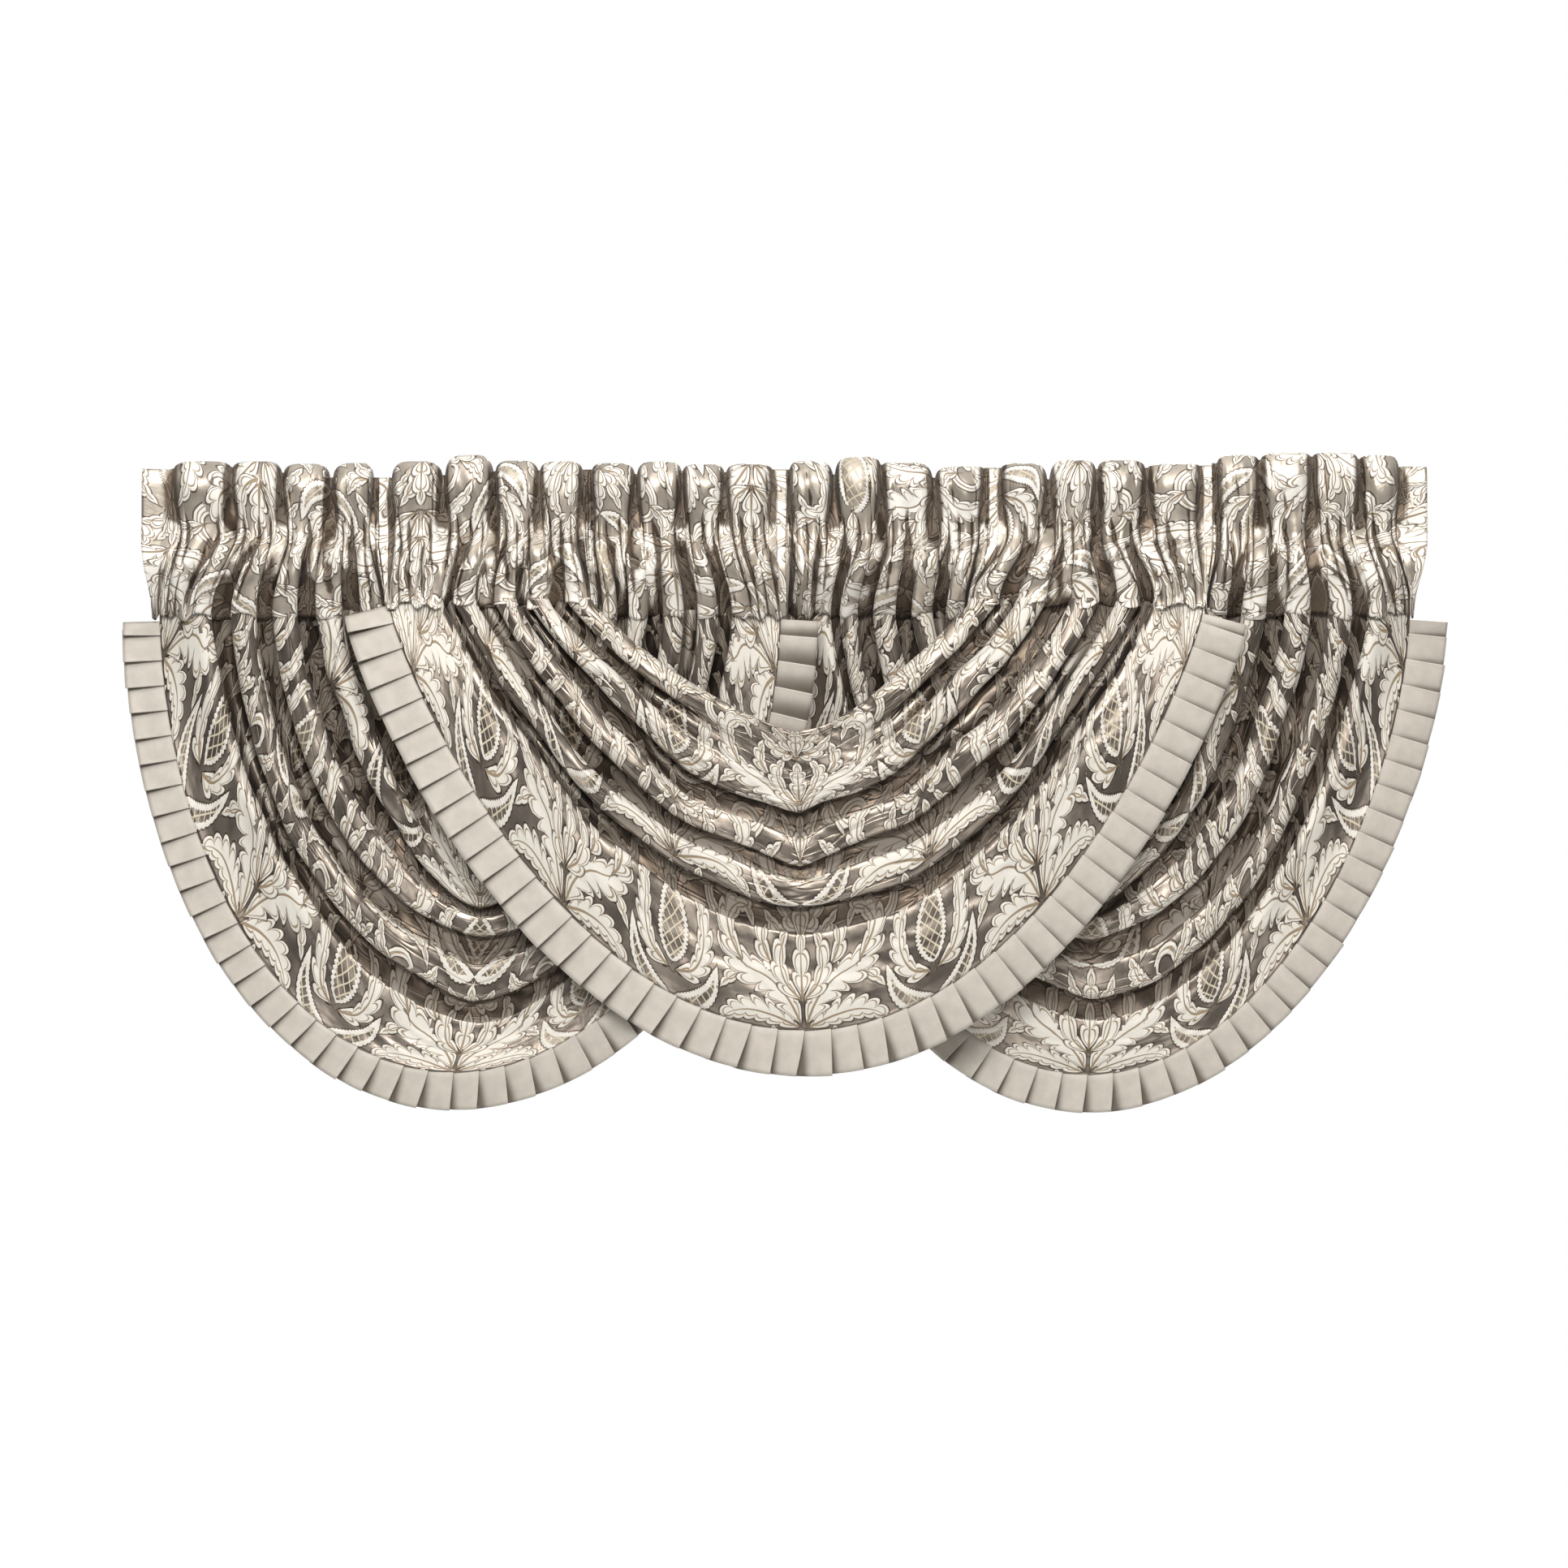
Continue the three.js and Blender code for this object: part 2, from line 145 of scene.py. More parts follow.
# Fold lines of each swag, neckline to hem: distance from the axis at the left and right heading, sway of the
# lowest point, drop, roundness, sharpness of the lowest point, and share of the rise there. Seam, hang and
# edge are depths at left and right, flat is the lift of the border beside the ribbon, and start the hem that
# each end of the ribbon leaves free.
LINE_COLUMNS = ("left", "right", "sway", "drop", "bow", "vee", "low")
SWAGS = {
    "left": {
        "axis": -389, "seam_z": -52, "ribbon": 47,
        "seam": (10, 10), "hang": (20, 20), "edge": (16, -7), "flat": (0.15, 0.8), "start": (14, 12),
        "lines": [
            (119, 172, 12, 297, 1.6, 0.2, 0.6),
            (173, 208, 12, 355, 1.6, 0.15, 0.45),
            (228, 252, 12, 393, 1.35, 0.05, 0.45),
            (278, 294, 2, 470, 1.2, 0.1, 0.4),
            (335, 337, -8, 525, 1.4, 0, 0.35),
            (384, 384, -21, 567, 1.06, 0, 1),
        ],
    },
    "centre": {
        "axis": 15, "seam_z": -38, "ribbon": 57,
        "seam": (-4, -4), "hang": (-22, -22), "edge": (-27, -27), "flat": (0.85, 0.85), "start": (9, 20),
        "lines": [
            (270, 232, -2, 175, 2, 0.4, 0.8),
            (321, 289, 3, 249, 2, 0.3, 0.6),
            (358, 355, 4, 321, 1.8, 0.32, 0.4),
            (411, 409, 4, 367, 2, 0.05, 0.4),
            (449, 453, 5, 449, 1.8, 0.15, 0.35),
            (503, 502, 9, 527, 1.63, 0, 1),
        ],
    },
    "right": {
        "axis": 386, "seam_z": -50, "ribbon": 48,
        "seam": (30, 10), "hang": (34, 20), "edge": (42, 16), "flat": (0, 0.15), "start": (2, 14),
        "lines": [
            (175, 146, -6, 299, 1.6, 0.2, 0.6),
            (216, 192, -6, 357, 1.6, 0.15, 0.45),
            (263, 247, -6, 397, 1.4, 0.05, 0.45),
            (308, 299, -7, 473, 1.3, 0.1, 0.4),
            (339, 347, -9, 528, 1.45, 0, 0.35),
            (383, 387, -11, 573, 1.19, 0, 1),
        ],
    },
}

# Headings along the rod: ends, flat strips, lean of the ends at the seam, height of the left end, and the
# tufts of the header with their middle, half width, top and the height of the dip after them.
HEADING_COLUMNS = ("swag", "side", "ends", "strip", "lean", "first", "tufts")
HEADINGS = [dict(zip(HEADING_COLUMNS, heading)) for heading in (
    ("left", 0, (-794, -501), (38, 6), (12, -10), 126,
     [(-720, 34, 135, 128), (-651, 28, 135, 121), (-593, 23, 132, 115), (-526, 23, 133, 115)]),
    ("centre", 0, (-501, -243), (14, 6), (9, -8), 115,
     [(-455, 26, 135, 118), (-389, 24, 143, 123), (-331, 21, 136, 124), (-275, 22, 135, 125)]),
    ("left", 1, (-243, 2), (4, 16), (10, 0), 125,
     [(-215, 24, 133, 120), (-154, 23, 135, 124), (-100, 22, 132, 122), (-44, 25, 132, 125)]),
    ("right", 0, (2, 252), (3, 6), (0, 26), 125,
     [(30, 25, 136, 119), (91, 25, 141, 131), (149, 26, 134, 115), (219, 26, 129, 127)]),
    ("centre", 1, (252, 528), (14, 14), (-26, 9), 127,
     [(294, 25, 133, 113), (356, 24, 137, 126), (415, 25, 137, 127), (483, 30, 132, 130)]),
    ("right", 1, (528, 793), (5, 34), (-9.5, 16), 133,
     [(558, 22, 143, 137), (618, 26, 146, 141), (681, 24, 146, 138), (735, 22, 143, 128)]),
)]
SIDE_NAMES = ("left", "right")


def lerp(a, b, t):
    return a + (b - a) * t


def smooth(x, low, high):
    """0 up to low, 1 from high on, and an even curve between them."""
    t = np.clip((x - low) / (high - low), 0, 1)
    return t * t * (3 - 2 * t)


def ripple(seed, x, y=0.0):
    """Smooth uneven waves about zero, of about unit height."""
    rng = np.random.default_rng(seed)
    total = 0
    for i in range(5):
        fx, fy = rng.uniform(0.5, 1.5) * (1 + 0.5 * i), rng.uniform(-1.3, 1.3) * (1 + 0.5 * i)
        total = total + np.sin(fx * x + fy * y + rng.uniform(0, 2 * math.pi)) / (1 + 0.6 * i)
    return total / 1.8


def table_value(lines, column, place):
    """A column of the fold table at any place between its lines."""
    v = np.array([line[LINE_COLUMNS.index(column)] for line in lines], float)
    last = len(v) - 1
    k = np.clip(np.floor(place).astype(int), 0, last - 1)
    t = place - k
    p1, p2 = v[k], v[k + 1]
    p0 = np.where(k > 0, v[np.maximum(k - 1, 0)], 2 * p1 - p2)
    p3 = np.where(k + 2 <= last, v[np.minimum(k + 2, last)], 2 * p2 - p1)
    slope1, slope2 = (p2 - p0) / 2, (p3 - p1) / 2
    bend = 2 * (p1 - p2) + slope1 + slope2
    curve = p1 + slope1 * t + (3 * (p2 - p1) - 2 * slope1 - slope2) * t ** 2 + bend * t ** 3
    return np.where(place < 0, p1 + (p2 - p1) * t, curve)


def fold_line(swag, side, place, away):
    """Distance from the axis and drop below the seam, at a share of the way from the axis to the heading."""
    lines = swag["lines"]
    drop, bow, vee = (table_value(lines, column, place)[..., None] for column in ("drop", "bow", "vee"))
    reach = table_value(lines, SIDE_NAMES[side], place)[..., None]
    shift = table_value(lines, "sway", place)[..., None] * (-1, 1)[side]
    angle = np.linspace(0, math.pi / 2, ARC_STEPS + 1)
    c, s = np.maximum(np.cos(angle), 0), np.sin(angle)
    down = drop * lerp(c ** bow, 1 - s, vee)
    out = reach * s + shift * c * c
    length = run_lengths(np.stack([out, down], axis=-1), 2)
    want = (away * length[..., -1])[..., None]
    i = np.clip((length < want).sum(-1), 1, ARC_STEPS)[..., None]
    before, after = np.take_along_axis(length, i - 1, -1), np.take_along_axis(length, i, -1)
    t = (want - before) / (after - before)

    def at_want(values):
        return lerp(np.take_along_axis(values, i - 1, -1), np.take_along_axis(values, i, -1), t)[..., 0]

    return at_want(out), at_want(down)


def rope_profile(share):
    """Across one fold from ridge to ridge: place between the ridges, and height. Each ridge is a rope of
    cloth, a little undercut, with a flat valley beside it."""
    s = 2 * np.minimum(share, 1 - share)
    turn = np.minimum(s / ROPE_PART, 1) * ROPE_TURN
    place, height = ROPE_HALF * np.sin(turn), (0.5 + 0.5 * np.cos(turn)) ** ROPE_ROUND
    q = np.clip((s - ROPE_PART) / (1 - ROPE_PART), 0, 1)
    speed_at_rope, speed_in_valley = 0.9 * ROPE_HALF * math.cos(ROPE_TURN), 0.3
    leaving, arriving = q ** 3 - 2 * q ** 2 + q, q ** 3 - q ** 2
    place = lerp(place, 0.5, smooth(q, 0, 1)) + leaving * speed_at_rope + arriving * speed_in_valley
    height = height * np.maximum(1 - q / VALLEY_FLAT, 0) ** 2
    return np.where(share > 0.5, 1 - place, place), height


def sagged(place, station):
    """Towards the axis the folds hang over, so each valley lies close under the ridge above it."""
    near_axis = 1 - smooth(np.abs(station), 0.05, 0.5)
    valley = lerp(VALLEY_AT_SIDE, VALLEY_AT_AXIS, near_axis)
    return np.where(place < 0.5, 2 * place * valley, valley + (2 * place - 1) * (1 - valley))


def swag_rows():
    """Rows of the swag's cloth, neckline to hem: fold line, place after it as a rope and as a hanging cowl,
    height as a rope and as a cowl, share of a small fold, kind."""
    rows = []
    for q in np.linspace(1, 0, NECK_ROWS)[:-1]:
        turn = q * NECK_TURN
        rope = (0.5 + 0.5 * math.cos(turn)) ** ROPE_ROUND
        rows.append((0, -ROPE_HALF * math.sin(turn), -NECK_BAND * q, rope, NECK_FLAT, 0, "neck"))
    share = np.arange(FOLD_ROWS) / FOLD_ROWS
    place, rope = rope_profile(share)
    cowl = np.where(share > 0.5, np.sin(np.maximum(share - 0.5, 0) * math.pi) ** 1.2, rope)
    band = lerp(NECK_FLAT, 1, share ** 1.5)
    small = np.exp(-((share - 0.5) / SMALL_FOLD_HALF) ** 2)
    for k in range(FOLDS):
        columns = (place, place if k else share, rope, cowl if k else band, small)
        rows += [(k, *row, "fold") for row in zip(*columns)]
    rows += [(FOLDS, q, q, 1 - q, 1 - q, 0, "border") for q in np.linspace(0, 1, BORDER_ROWS + 1)]
    return rows


def swag_places(name, station):
    """For the swag's points: fold line, kind of row, place in the fold, height, place among the fold lines,
    and how far the cloth hangs as a cowl."""
    seed = sum(map(ord, name))
    rows = swag_rows()
    columns = (np.array([row[i] for row in rows], float)[:, None] for i in range(6))
    line, rope_place, cowl_place, rope, cowl, small = columns
    kind = np.array([row[6] for row in rows])[:, None]
    away = np.abs(station)
    hanging = 1 - smooth(away, *COWL_REACH[name])
    place = lerp(rope_place, cowl_place, hanging)
    strength = np.clip(0.45 + 0.7 * ripple(seed + 7, 7 * station, 2.9 * line), 0, 1) * (1 - hanging)
    height = lerp(rope, cowl, hanging) + SMALL_FOLD * small * strength
    at = line + np.where((kind == "fold") & (line > 0), sagged(place, station), place)
    uneven = [ripple(seed + 5 + k, 10 * station[0]) for k in range(SEWN_EDGE)]
    drift = np.array(uneven + [0 * station[0]])
    k = line[:, 0].astype(int)
    share = np.clip(place, 0, 1)
    calm = smooth(1 - away, 0.02, 0.2) * np.where(line + share < 0.5, 0.3, 1)
    at = at + DRIFT * calm * lerp(drift[k], drift[k + 1], share)
    return line, kind, place, height, at, hanging


def swag_points(name):
    """The swag's cloth as a grid of points, neckline to hem by left to right, and their painted shade."""
    swag = SWAGS[name]
    seed = sum(map(ord, name))
    station = np.linspace(-1, 1, STATIONS + 1)[None, :]
    line, kind, place, height, at, hanging = swag_places(name, station)
    away = np.abs(station)
    to_right = smooth(station, -0.35, 0.35)
    on_right = station >= 0
    both = [fold_line(swag, side, at, away + 0 * at) for side in (0, 1)]
    out = np.where(on_right, both[1][0], -both[0][0])
    down = np.where(on_right, both[1][1], both[0][1])

    flat = np.where(on_right, swag["flat"][1], swag["flat"][0])
    border = kind == "border"
    relief = np.where(border, lerp(flat, 1, height), height)
    settled = smooth(down, 0, SETTLE_DROP * np.interp(at, (FOLDS - 1, FOLDS), (1, BORDER_SETTLE)))
    near_axis = 1 - smooth(away, 0.05, 0.6)
    low = table_value(swag["lines"], "low", np.clip(at, 0, SEWN_EDGE))
    rise = lerp(RISE_AT_SEAM, RISE_HANGING, settled) * lerp(1, RISE_AT_AXIS * low, near_axis)
    rise = rise * np.interp(at, range(SEWN_EDGE + 1), RIDGE_GAIN)
    rise = rise * (1 + RISE_UNEVEN * settled * ripple(seed, 9 * station, 2.3 * line))
    seam = lerp(*swag["seam"], to_right) + BACK_AT_SEAM
    hang = lerp(*swag["hang"], to_right) + BACK_HANGING[name] * (1 - BACK_LOST_AT_AXIS * near_axis)
    depth = lerp(seam, hang, settled) - rise * relief
    edge = lerp(*swag["edge"], to_right)
    share = np.where(border, place, 0)
    depth = lerp(depth, edge, share * share * smooth(down, 0, EDGE_DROP))

    loose = settled * (1 - smooth(at, 3.5, 4.8))
    wander = WANDER * loose * np.sin(5.2 * station + 1.9 * at)
    soft = settled * (1 - share ** 2)
    on_ropes = np.where(border, 1, 1 - 0.6 * relief)
    depth = depth + soft * CRUMPLE * ripple(seed + 1, 26 * station, 7 * at) * on_ropes
    depth = depth + soft * CREASE * ripple(seed + 2, 50 * station, 16 * at)
    x = swag["axis"] + out
    tucked_up = SEAM_TUCK * (1 - smooth(down, 0, SEAM_TUCK_DROP))
    z = swag["seam_z"] - np.maximum(down + wander, 0) + tucked_up
    # Painted shade: darker in valleys and neck folds, the border's middle and the cowl below the neckline.
    shade = np.where(kind == "fold", 1 - relief, 0.35 * share * (1 - share))
    shade = np.where(kind == "neck", 1 - relief, shade * lerp(1, 0.9, near_axis))
    shade = shade + 0.55 * hanging * np.clip(1 - at, 0, 1)
    return np.stack([x, depth, z], axis=-1), shade


def run_lengths(points, axis):
    """Distance along the cloth from the first point of each line of a grid."""
    step = np.linalg.norm(np.diff(points, axis=axis), axis=-1)
    zero = np.zeros_like(np.take(step, [0], axis=axis))
    return np.concatenate([zero, np.cumsum(step, axis=axis)], axis=axis)


def swag_weave(points):
    """Places of the swag's points on the flat cloth: across from the axis, and up from the sewn edge."""
    across = run_lengths(points, 1)
    middle = across[:, STATIONS // 2][:, None]
    up = run_lengths(points, 0).mean(axis=1)
    up = (up[-1] - up)[:, None] + HEM_ON_CHART
    return np.stack(np.broadcast_arrays(across - middle, up), axis=-1)


def header_columns(heading):
    """Columns of the header's cloth along the rod: its ends and strips, and each tuft and dip."""
    (start, end), strip = heading["ends"], heading["strip"]
    columns = [start + HEADING_GAP / 2, start + strip[0]]
    tufts = heading["tufts"]
    for i, (x, half, *_) in enumerate(tufts):
        dip = end - strip[1]
        if i + 1 < len(tufts):
            dip = (x + half + tufts[i + 1][0] - tufts[i + 1][1]) / 2
        columns += [x - TUFT_FLAT * half, x + TUFT_FLAT * half, dip]
    return np.array(columns + [end - HEADING_GAP / 2])


def header_shape(heading, x, columns):
    """Fullness of the tufts, height of the header's top edge, and the nearest tuft's middle."""
    centre = x.copy()
    swell = np.zeros_like(x)
    top = np.interp(x, columns[[0, -1]], (heading["first"], heading["tufts"][-1][3]))
    dips = [columns[1], *columns[4::3]]
    heights = [heading["first"], *(tuft[3] for tuft in heading["tufts"])]
    for i, (middle, _, peak, _) in enumerate(heading["tufts"]):
        a, b = dips[i], dips[i + 1]
        q = np.where(x < middle, (x - a) / (middle - a), (b - x) / (b - middle))
        inside = (x >= a) & (x <= b)
        q = np.clip((q - TUFT_GAP) / TUFT_REST, 0, 1)
        dip = np.where(x < middle, heights[i], heights[i + 1])
        swell = np.where(inside, (1 - (1 - q) ** 3) ** 0.6, swell)
        centre = np.where(inside, middle, centre)
        top = np.where(inside, dip + (peak - dip) * (1 - (1 - q) ** 4) ** 0.5, top)
    return swell, top, centre


def seam_shape(heading, column):
    """Where the heading's cloth is gathered into the seam, and how far it folds forward there."""
    swag, side = SWAGS[heading["swag"]], heading["side"]
    from_edge = LAST_COLUMN - column if side == 1 else column
    turns = [1, 4, LAST_COLUMN - 2, LAST_COLUMN - 1]
    place = np.interp(from_edge, turns, [SEWN_EDGE, FOLDS, 0, -NECK_REACH])
    k = np.clip(np.floor(place), 0, FOLDS - 1)
    rope, height = rope_profile(np.clip(place - k, 0, 1))
    in_folds = (place >= 0) & (place <= FOLDS)
    at = np.where(in_folds, k + rope, place)
    fold = np.where(place > FOLDS, lerp(1, swag["flat"][side], place - FOLDS), height)
    fold = np.where(place < 0, 1 - NECK_FALL * (place / NECK_REACH) ** 2, fold)
    x = swag["axis"] + (-1, 1)[side] * table_value(swag["lines"], SIDE_NAMES[side], at)
    low = heading["ends"][0] + heading["lean"][0] + HEADING_GAP / 2
    high = heading["ends"][1] - heading["lean"][1] - HEADING_GAP / 2
    x = lerp(low, x, np.clip(column, 0, 1))
    x = lerp(high, x, np.clip(LAST_COLUMN - column, 0, 1))
    return np.clip(x, low, high), fold


def catmull(controls, steps):
    """A smooth curve through control points, given as an array of (points, ...)."""
    before, after = 2 * controls[:1] - controls[1:2], 2 * controls[-1:] - controls[-2:-1]
    padded = np.concatenate([before, controls, after])
    out = []
    for i in range(len(controls) - 1):
        p0, p1, p2, p3 = padded[i:i + 4]
        for t in np.arange(steps) / steps:
            out.append(0.5 * (2 * p1 + (p2 - p0) * t + (2 * p0 - 5 * p1 + 4 * p2 - p3) * t ** 2
                              + (3 * p1 - p0 - 3 * p2 + p3) * t ** 3))
    return np.array(out + [controls[-1]])


def gather(phase):
    """Rounded gathers with a sharp crease between them."""
    return np.abs(np.sin(phase)) ** 0.8


def heading_folds(index, column, down):
    """Rolled folds of the pocket, and small folds between them: 1 on a roll, 0 between."""
    rng = np.random.default_rng(300 + index)
    rolls, small = np.zeros_like(down), np.zeros_like(down)
    for middle in np.arange(0, LAST_COLUMN + 1, 2):
        shift, wide, full, sway = rng.uniform((-0.6, 0.6, 0.8, 0), (0.6, 0.9, 1.1, 6))
        path = middle + shift * (1 - down) ** 1.5 + 0.15 * np.sin(4 * down + sway) * (1 - down)
        u = (column - path) / (wide * lerp(0.7, 1, smooth(down, 0, 0.5)))
        rolls = np.maximum(rolls, full * np.sqrt(np.clip(1 - u * u, 0, 1)))
    for middle in np.arange(0.5, LAST_COLUMN, 1):
        shift, wide, full, end = rng.uniform((-0.4, 0.25, 0.45, 0.25), (0.4, 0.4, 0.85, 0.8))
        u = (column - middle - shift * (1 + down)) / wide
        roll = full * np.sqrt(np.clip(1 - u * u, 0, 1)) * lerp(1, 0.85, smooth(down, end - 0.25, end))
        small = np.maximum(small, roll)
    return np.minimum(rolls, 1), small


def cavity(depth, reach):
    """How far each point lies behind its neighbours along its row."""
    padded = np.pad(depth, ((0, 0), (reach, reach)), mode="edge")
    total = np.cumsum(np.pad(padded, ((0, 0), (1, 0))), axis=1)
    width = 2 * reach + 1
    return np.maximum(depth - (total[:, width:] - total[:, :-width]) / width, 0)


def heading_section(heading, column):
    """A heading before its folds: x, y and z, up the front and down the back by columns, share of the way
    from stitch line to seam, fullness of the tufts, height of the top, and folds at the seam."""
    swag = SWAGS[heading["swag"]]
    columns = header_columns(heading)
    head_x = np.interp(column, range(LAST_COLUMN + 1), columns)
    swell, top, centre = header_shape(heading, head_x, columns)
    seam_x, fold = seam_shape(heading, column)
    seam_z = swag["seam_z"] + SEWING_GAP / 2
    gathered = swag["seam"][heading["side"]] + BACK_AT_SEAM - RISE_AT_SEAM * fold - SEAM_FORWARD
    stitch = STITCH_DEPTH - STITCH_SWELL * swell
    front = POCKET_FRONT - POCKET_SWELL * swell
    shoulder = top - TUFT_SHOULDER
    heights = (HEADER_MIDDLE_Z, shoulder, top, shoulder, HEADER_MIDDLE_Z)
    header = [(flat + full * swell, z) for (flat, full), z in zip(HEADER_DEPTHS, heights)]
    section = [
        (gathered, seam_z),
        (lerp(gathered, front, POCKET_LOW_ROUND), -POCKET_HALF),
        (front, POCKET_MIDDLE_Z),
        (lerp(stitch, front, POCKET_ROUND), POCKET_HALF),
        (stitch, STITCH_Z),
        *header,
        (stitch + LAYER_GAP, STITCH_Z),
        (lerp(stitch + LAYER_GAP, POCKET_BACK, POCKET_ROUND), POCKET_HALF),
        (POCKET_BACK, POCKET_MIDDLE_Z),
        (lerp(gathered + LAYER_GAP, POCKET_BACK, POCKET_ROUND), -POCKET_HALF),
        (gathered + LAYER_GAP + SEAM_FORWARD, seam_z),
    ]
    controls = np.array([[value + 0 * column for value in point] for point in section])
    loop = catmull(controls, SECTION_STEPS)
    y, z = loop[:, 0], np.clip(loop[:, 1], seam_z, top)
    down = np.clip((STITCH_Z - z) / (STITCH_Z - seam_z), 0, 1)
    in_tuft = centre != head_x
    narrow = 1 - TUFT_NECK * (1 - smooth(z, STITCH_Z, HEADER_MIDDLE_Z + 16)) * in_tuft
    x = lerp(centre + (head_x - centre) * narrow, seam_x, smooth(down, 0, 1))
    return x, y, z, down, swell, top, fold


def heading_points(index):
    """A gathered heading as a grid of points, up the front and down the back by columns, with their painted
    shade and the cloth that is tucked away before each column."""
    heading = HEADINGS[index]
    column = np.linspace(0, LAST_COLUMN, LAST_COLUMN * COLUMN_STEPS + 1)
    x, y, z, down, swell, top, fold = heading_section(heading, column)
    front = (np.arange(len(y)) <= SECTION_POINT_ON_TOP * SECTION_STEPS)[:, None]
    full = 1
    for strip, from_end in zip(heading["strip"], (column, LAST_COLUMN - column)):
        full = full * (smooth(from_end, 0.5, 1.6) if strip > WIDE_STRIP else 1)
    pinch = np.exp(-((z - STITCH_Z) / PINCH_HALF) ** 2)
    gathers = gather(math.pi * 1.25 * column + 1.5 * ripple(index, 0.9 * column) + 0.012 * (z - STITCH_Z))
    pocket = smooth(down, 0, 0.3) * (1 - smooth(down, 0.55, 1))
    rolls, small = heading_folds(index, column, down)
    rolled = np.maximum(rolls, small)
    at_seam = smooth(down, 0.6, 1)
    head = smooth(z, STITCH_Z + 8, STITCH_Z + 40)
    below = smooth(down, 0, 0.12) * lerp(1, 0.5, at_seam) * full

    lift = LIFT["stitch"] * pinch * (gathers - 0.4) * full + LIFT["roll"] * pocket * (rolled - 0.42) * full
    lift = lift + LIFT["below"] * below * (gathers - 0.6)
    lift = lift + LIFT["seam"] * at_seam * np.maximum(small - fold, 0) * full
    rough = LIFT["crumple"] * ripple(index + 20, 2.6 * column, 0.06 * z)
    rough = rough + LIFT["fine"] * ripple(index + 40, 5.2 * column, 0.11 * z)
    lift = lift + rough * (0.4 + pocket + 0.3 * head) * full
    creased = gather(2.1 * column + 2 * ripple(index + 60, column) + 0.02 * z) - 0.5
    lift = lift + LIFT["tuft"] * head * creased * swell * (1 - smooth(z, HEADER_MIDDLE_Z + 8, top + 2))
    y = y + np.where(front, -lift, BACK_LIFT * lift)
    over_seam = 1 + lerp(7, 10, fold) * np.clip(0.5 + 0.7 * ripple(index + 80, 2.3 * column), 0, 1)
    z = z - np.where(front, smooth(down, 0.75, 1) * over_seam, 0)

    # Painted shade: in cavities, gathers' creases, the seam between folds, the pocket and the tufts' slits.
    shade = 0.34 * cavity(y, 3) + 0.14 * cavity(y, 10)
    shade = shade + 0.65 * at_seam * (1 - np.maximum(fold, small))
    shade = shade + 0.5 * pocket * np.maximum(0.75 - rolled, 0) * full
    shade = shade + (0.8 * below + 0.7 * pinch * full) * (1 - gathers) ** 2
    slits = (1 - swell) ** 1.1 * smooth(z, STITCH_Z, STITCH_Z + 20)
    shade = shade + 1.6 * (1 - down) * slits * full
    # The painted shade is weaker on the back.
    shade = np.clip(shade, 0, 1) * np.where(front, 1, 0.6)
    header_tucks, pocket_tucks = (
        np.clip((column[None] - np.arange(1, LAST_COLUMN, gap)[:, None]) / 0.5 + 0.5, 0, 1).sum(axis=0)
        for gap in (3, 2))
    tucked = TUCK * lerp(header_tucks, pocket_tucks, smooth(down, 0, 0.3))
    return np.stack([x, y, z], axis=-1), shade, tucked


def heading_weave(points, tucked, index):
    """Places on the flat cloth; each heading is cut from another part of the pattern."""
    rng = np.random.default_rng(70 + index)
    across = run_lengths(points, 1).mean(axis=0) + tucked + rng.uniform(0, REPEAT[0] * 2)
    up = run_lengths(points, 0).mean(axis=1)[:, None] + rng.uniform(0, REPEAT[1])
    slant = rng.choice((-1, 1)) * PATTERN_SLANT * across
    return np.stack([across, up + (slant + PATTERN_WAVE * ripple(index + 90, across / 45))], axis=-1)


def pleat_rows(start, end, lap, first, last):
    """Places along the hem and heights of a pleat's rows: under the pleat before, to the fold, and back."""
    rows = [(start - (0 if first else share * lap), height) for share, height in PLEAT_UNDER]
    for t in np.linspace(0.05, 0.97, PANEL_STEPS):
        rows.append((lerp(start, end, t), lerp(*PLEAT_PANEL, t ** 0.8)))
    rows.append((end, PLEAT_FOLD))
    if not last:
        rows += [(end + past - share * lap, height) for past, share, height in PLEAT_TURN]
    return rows


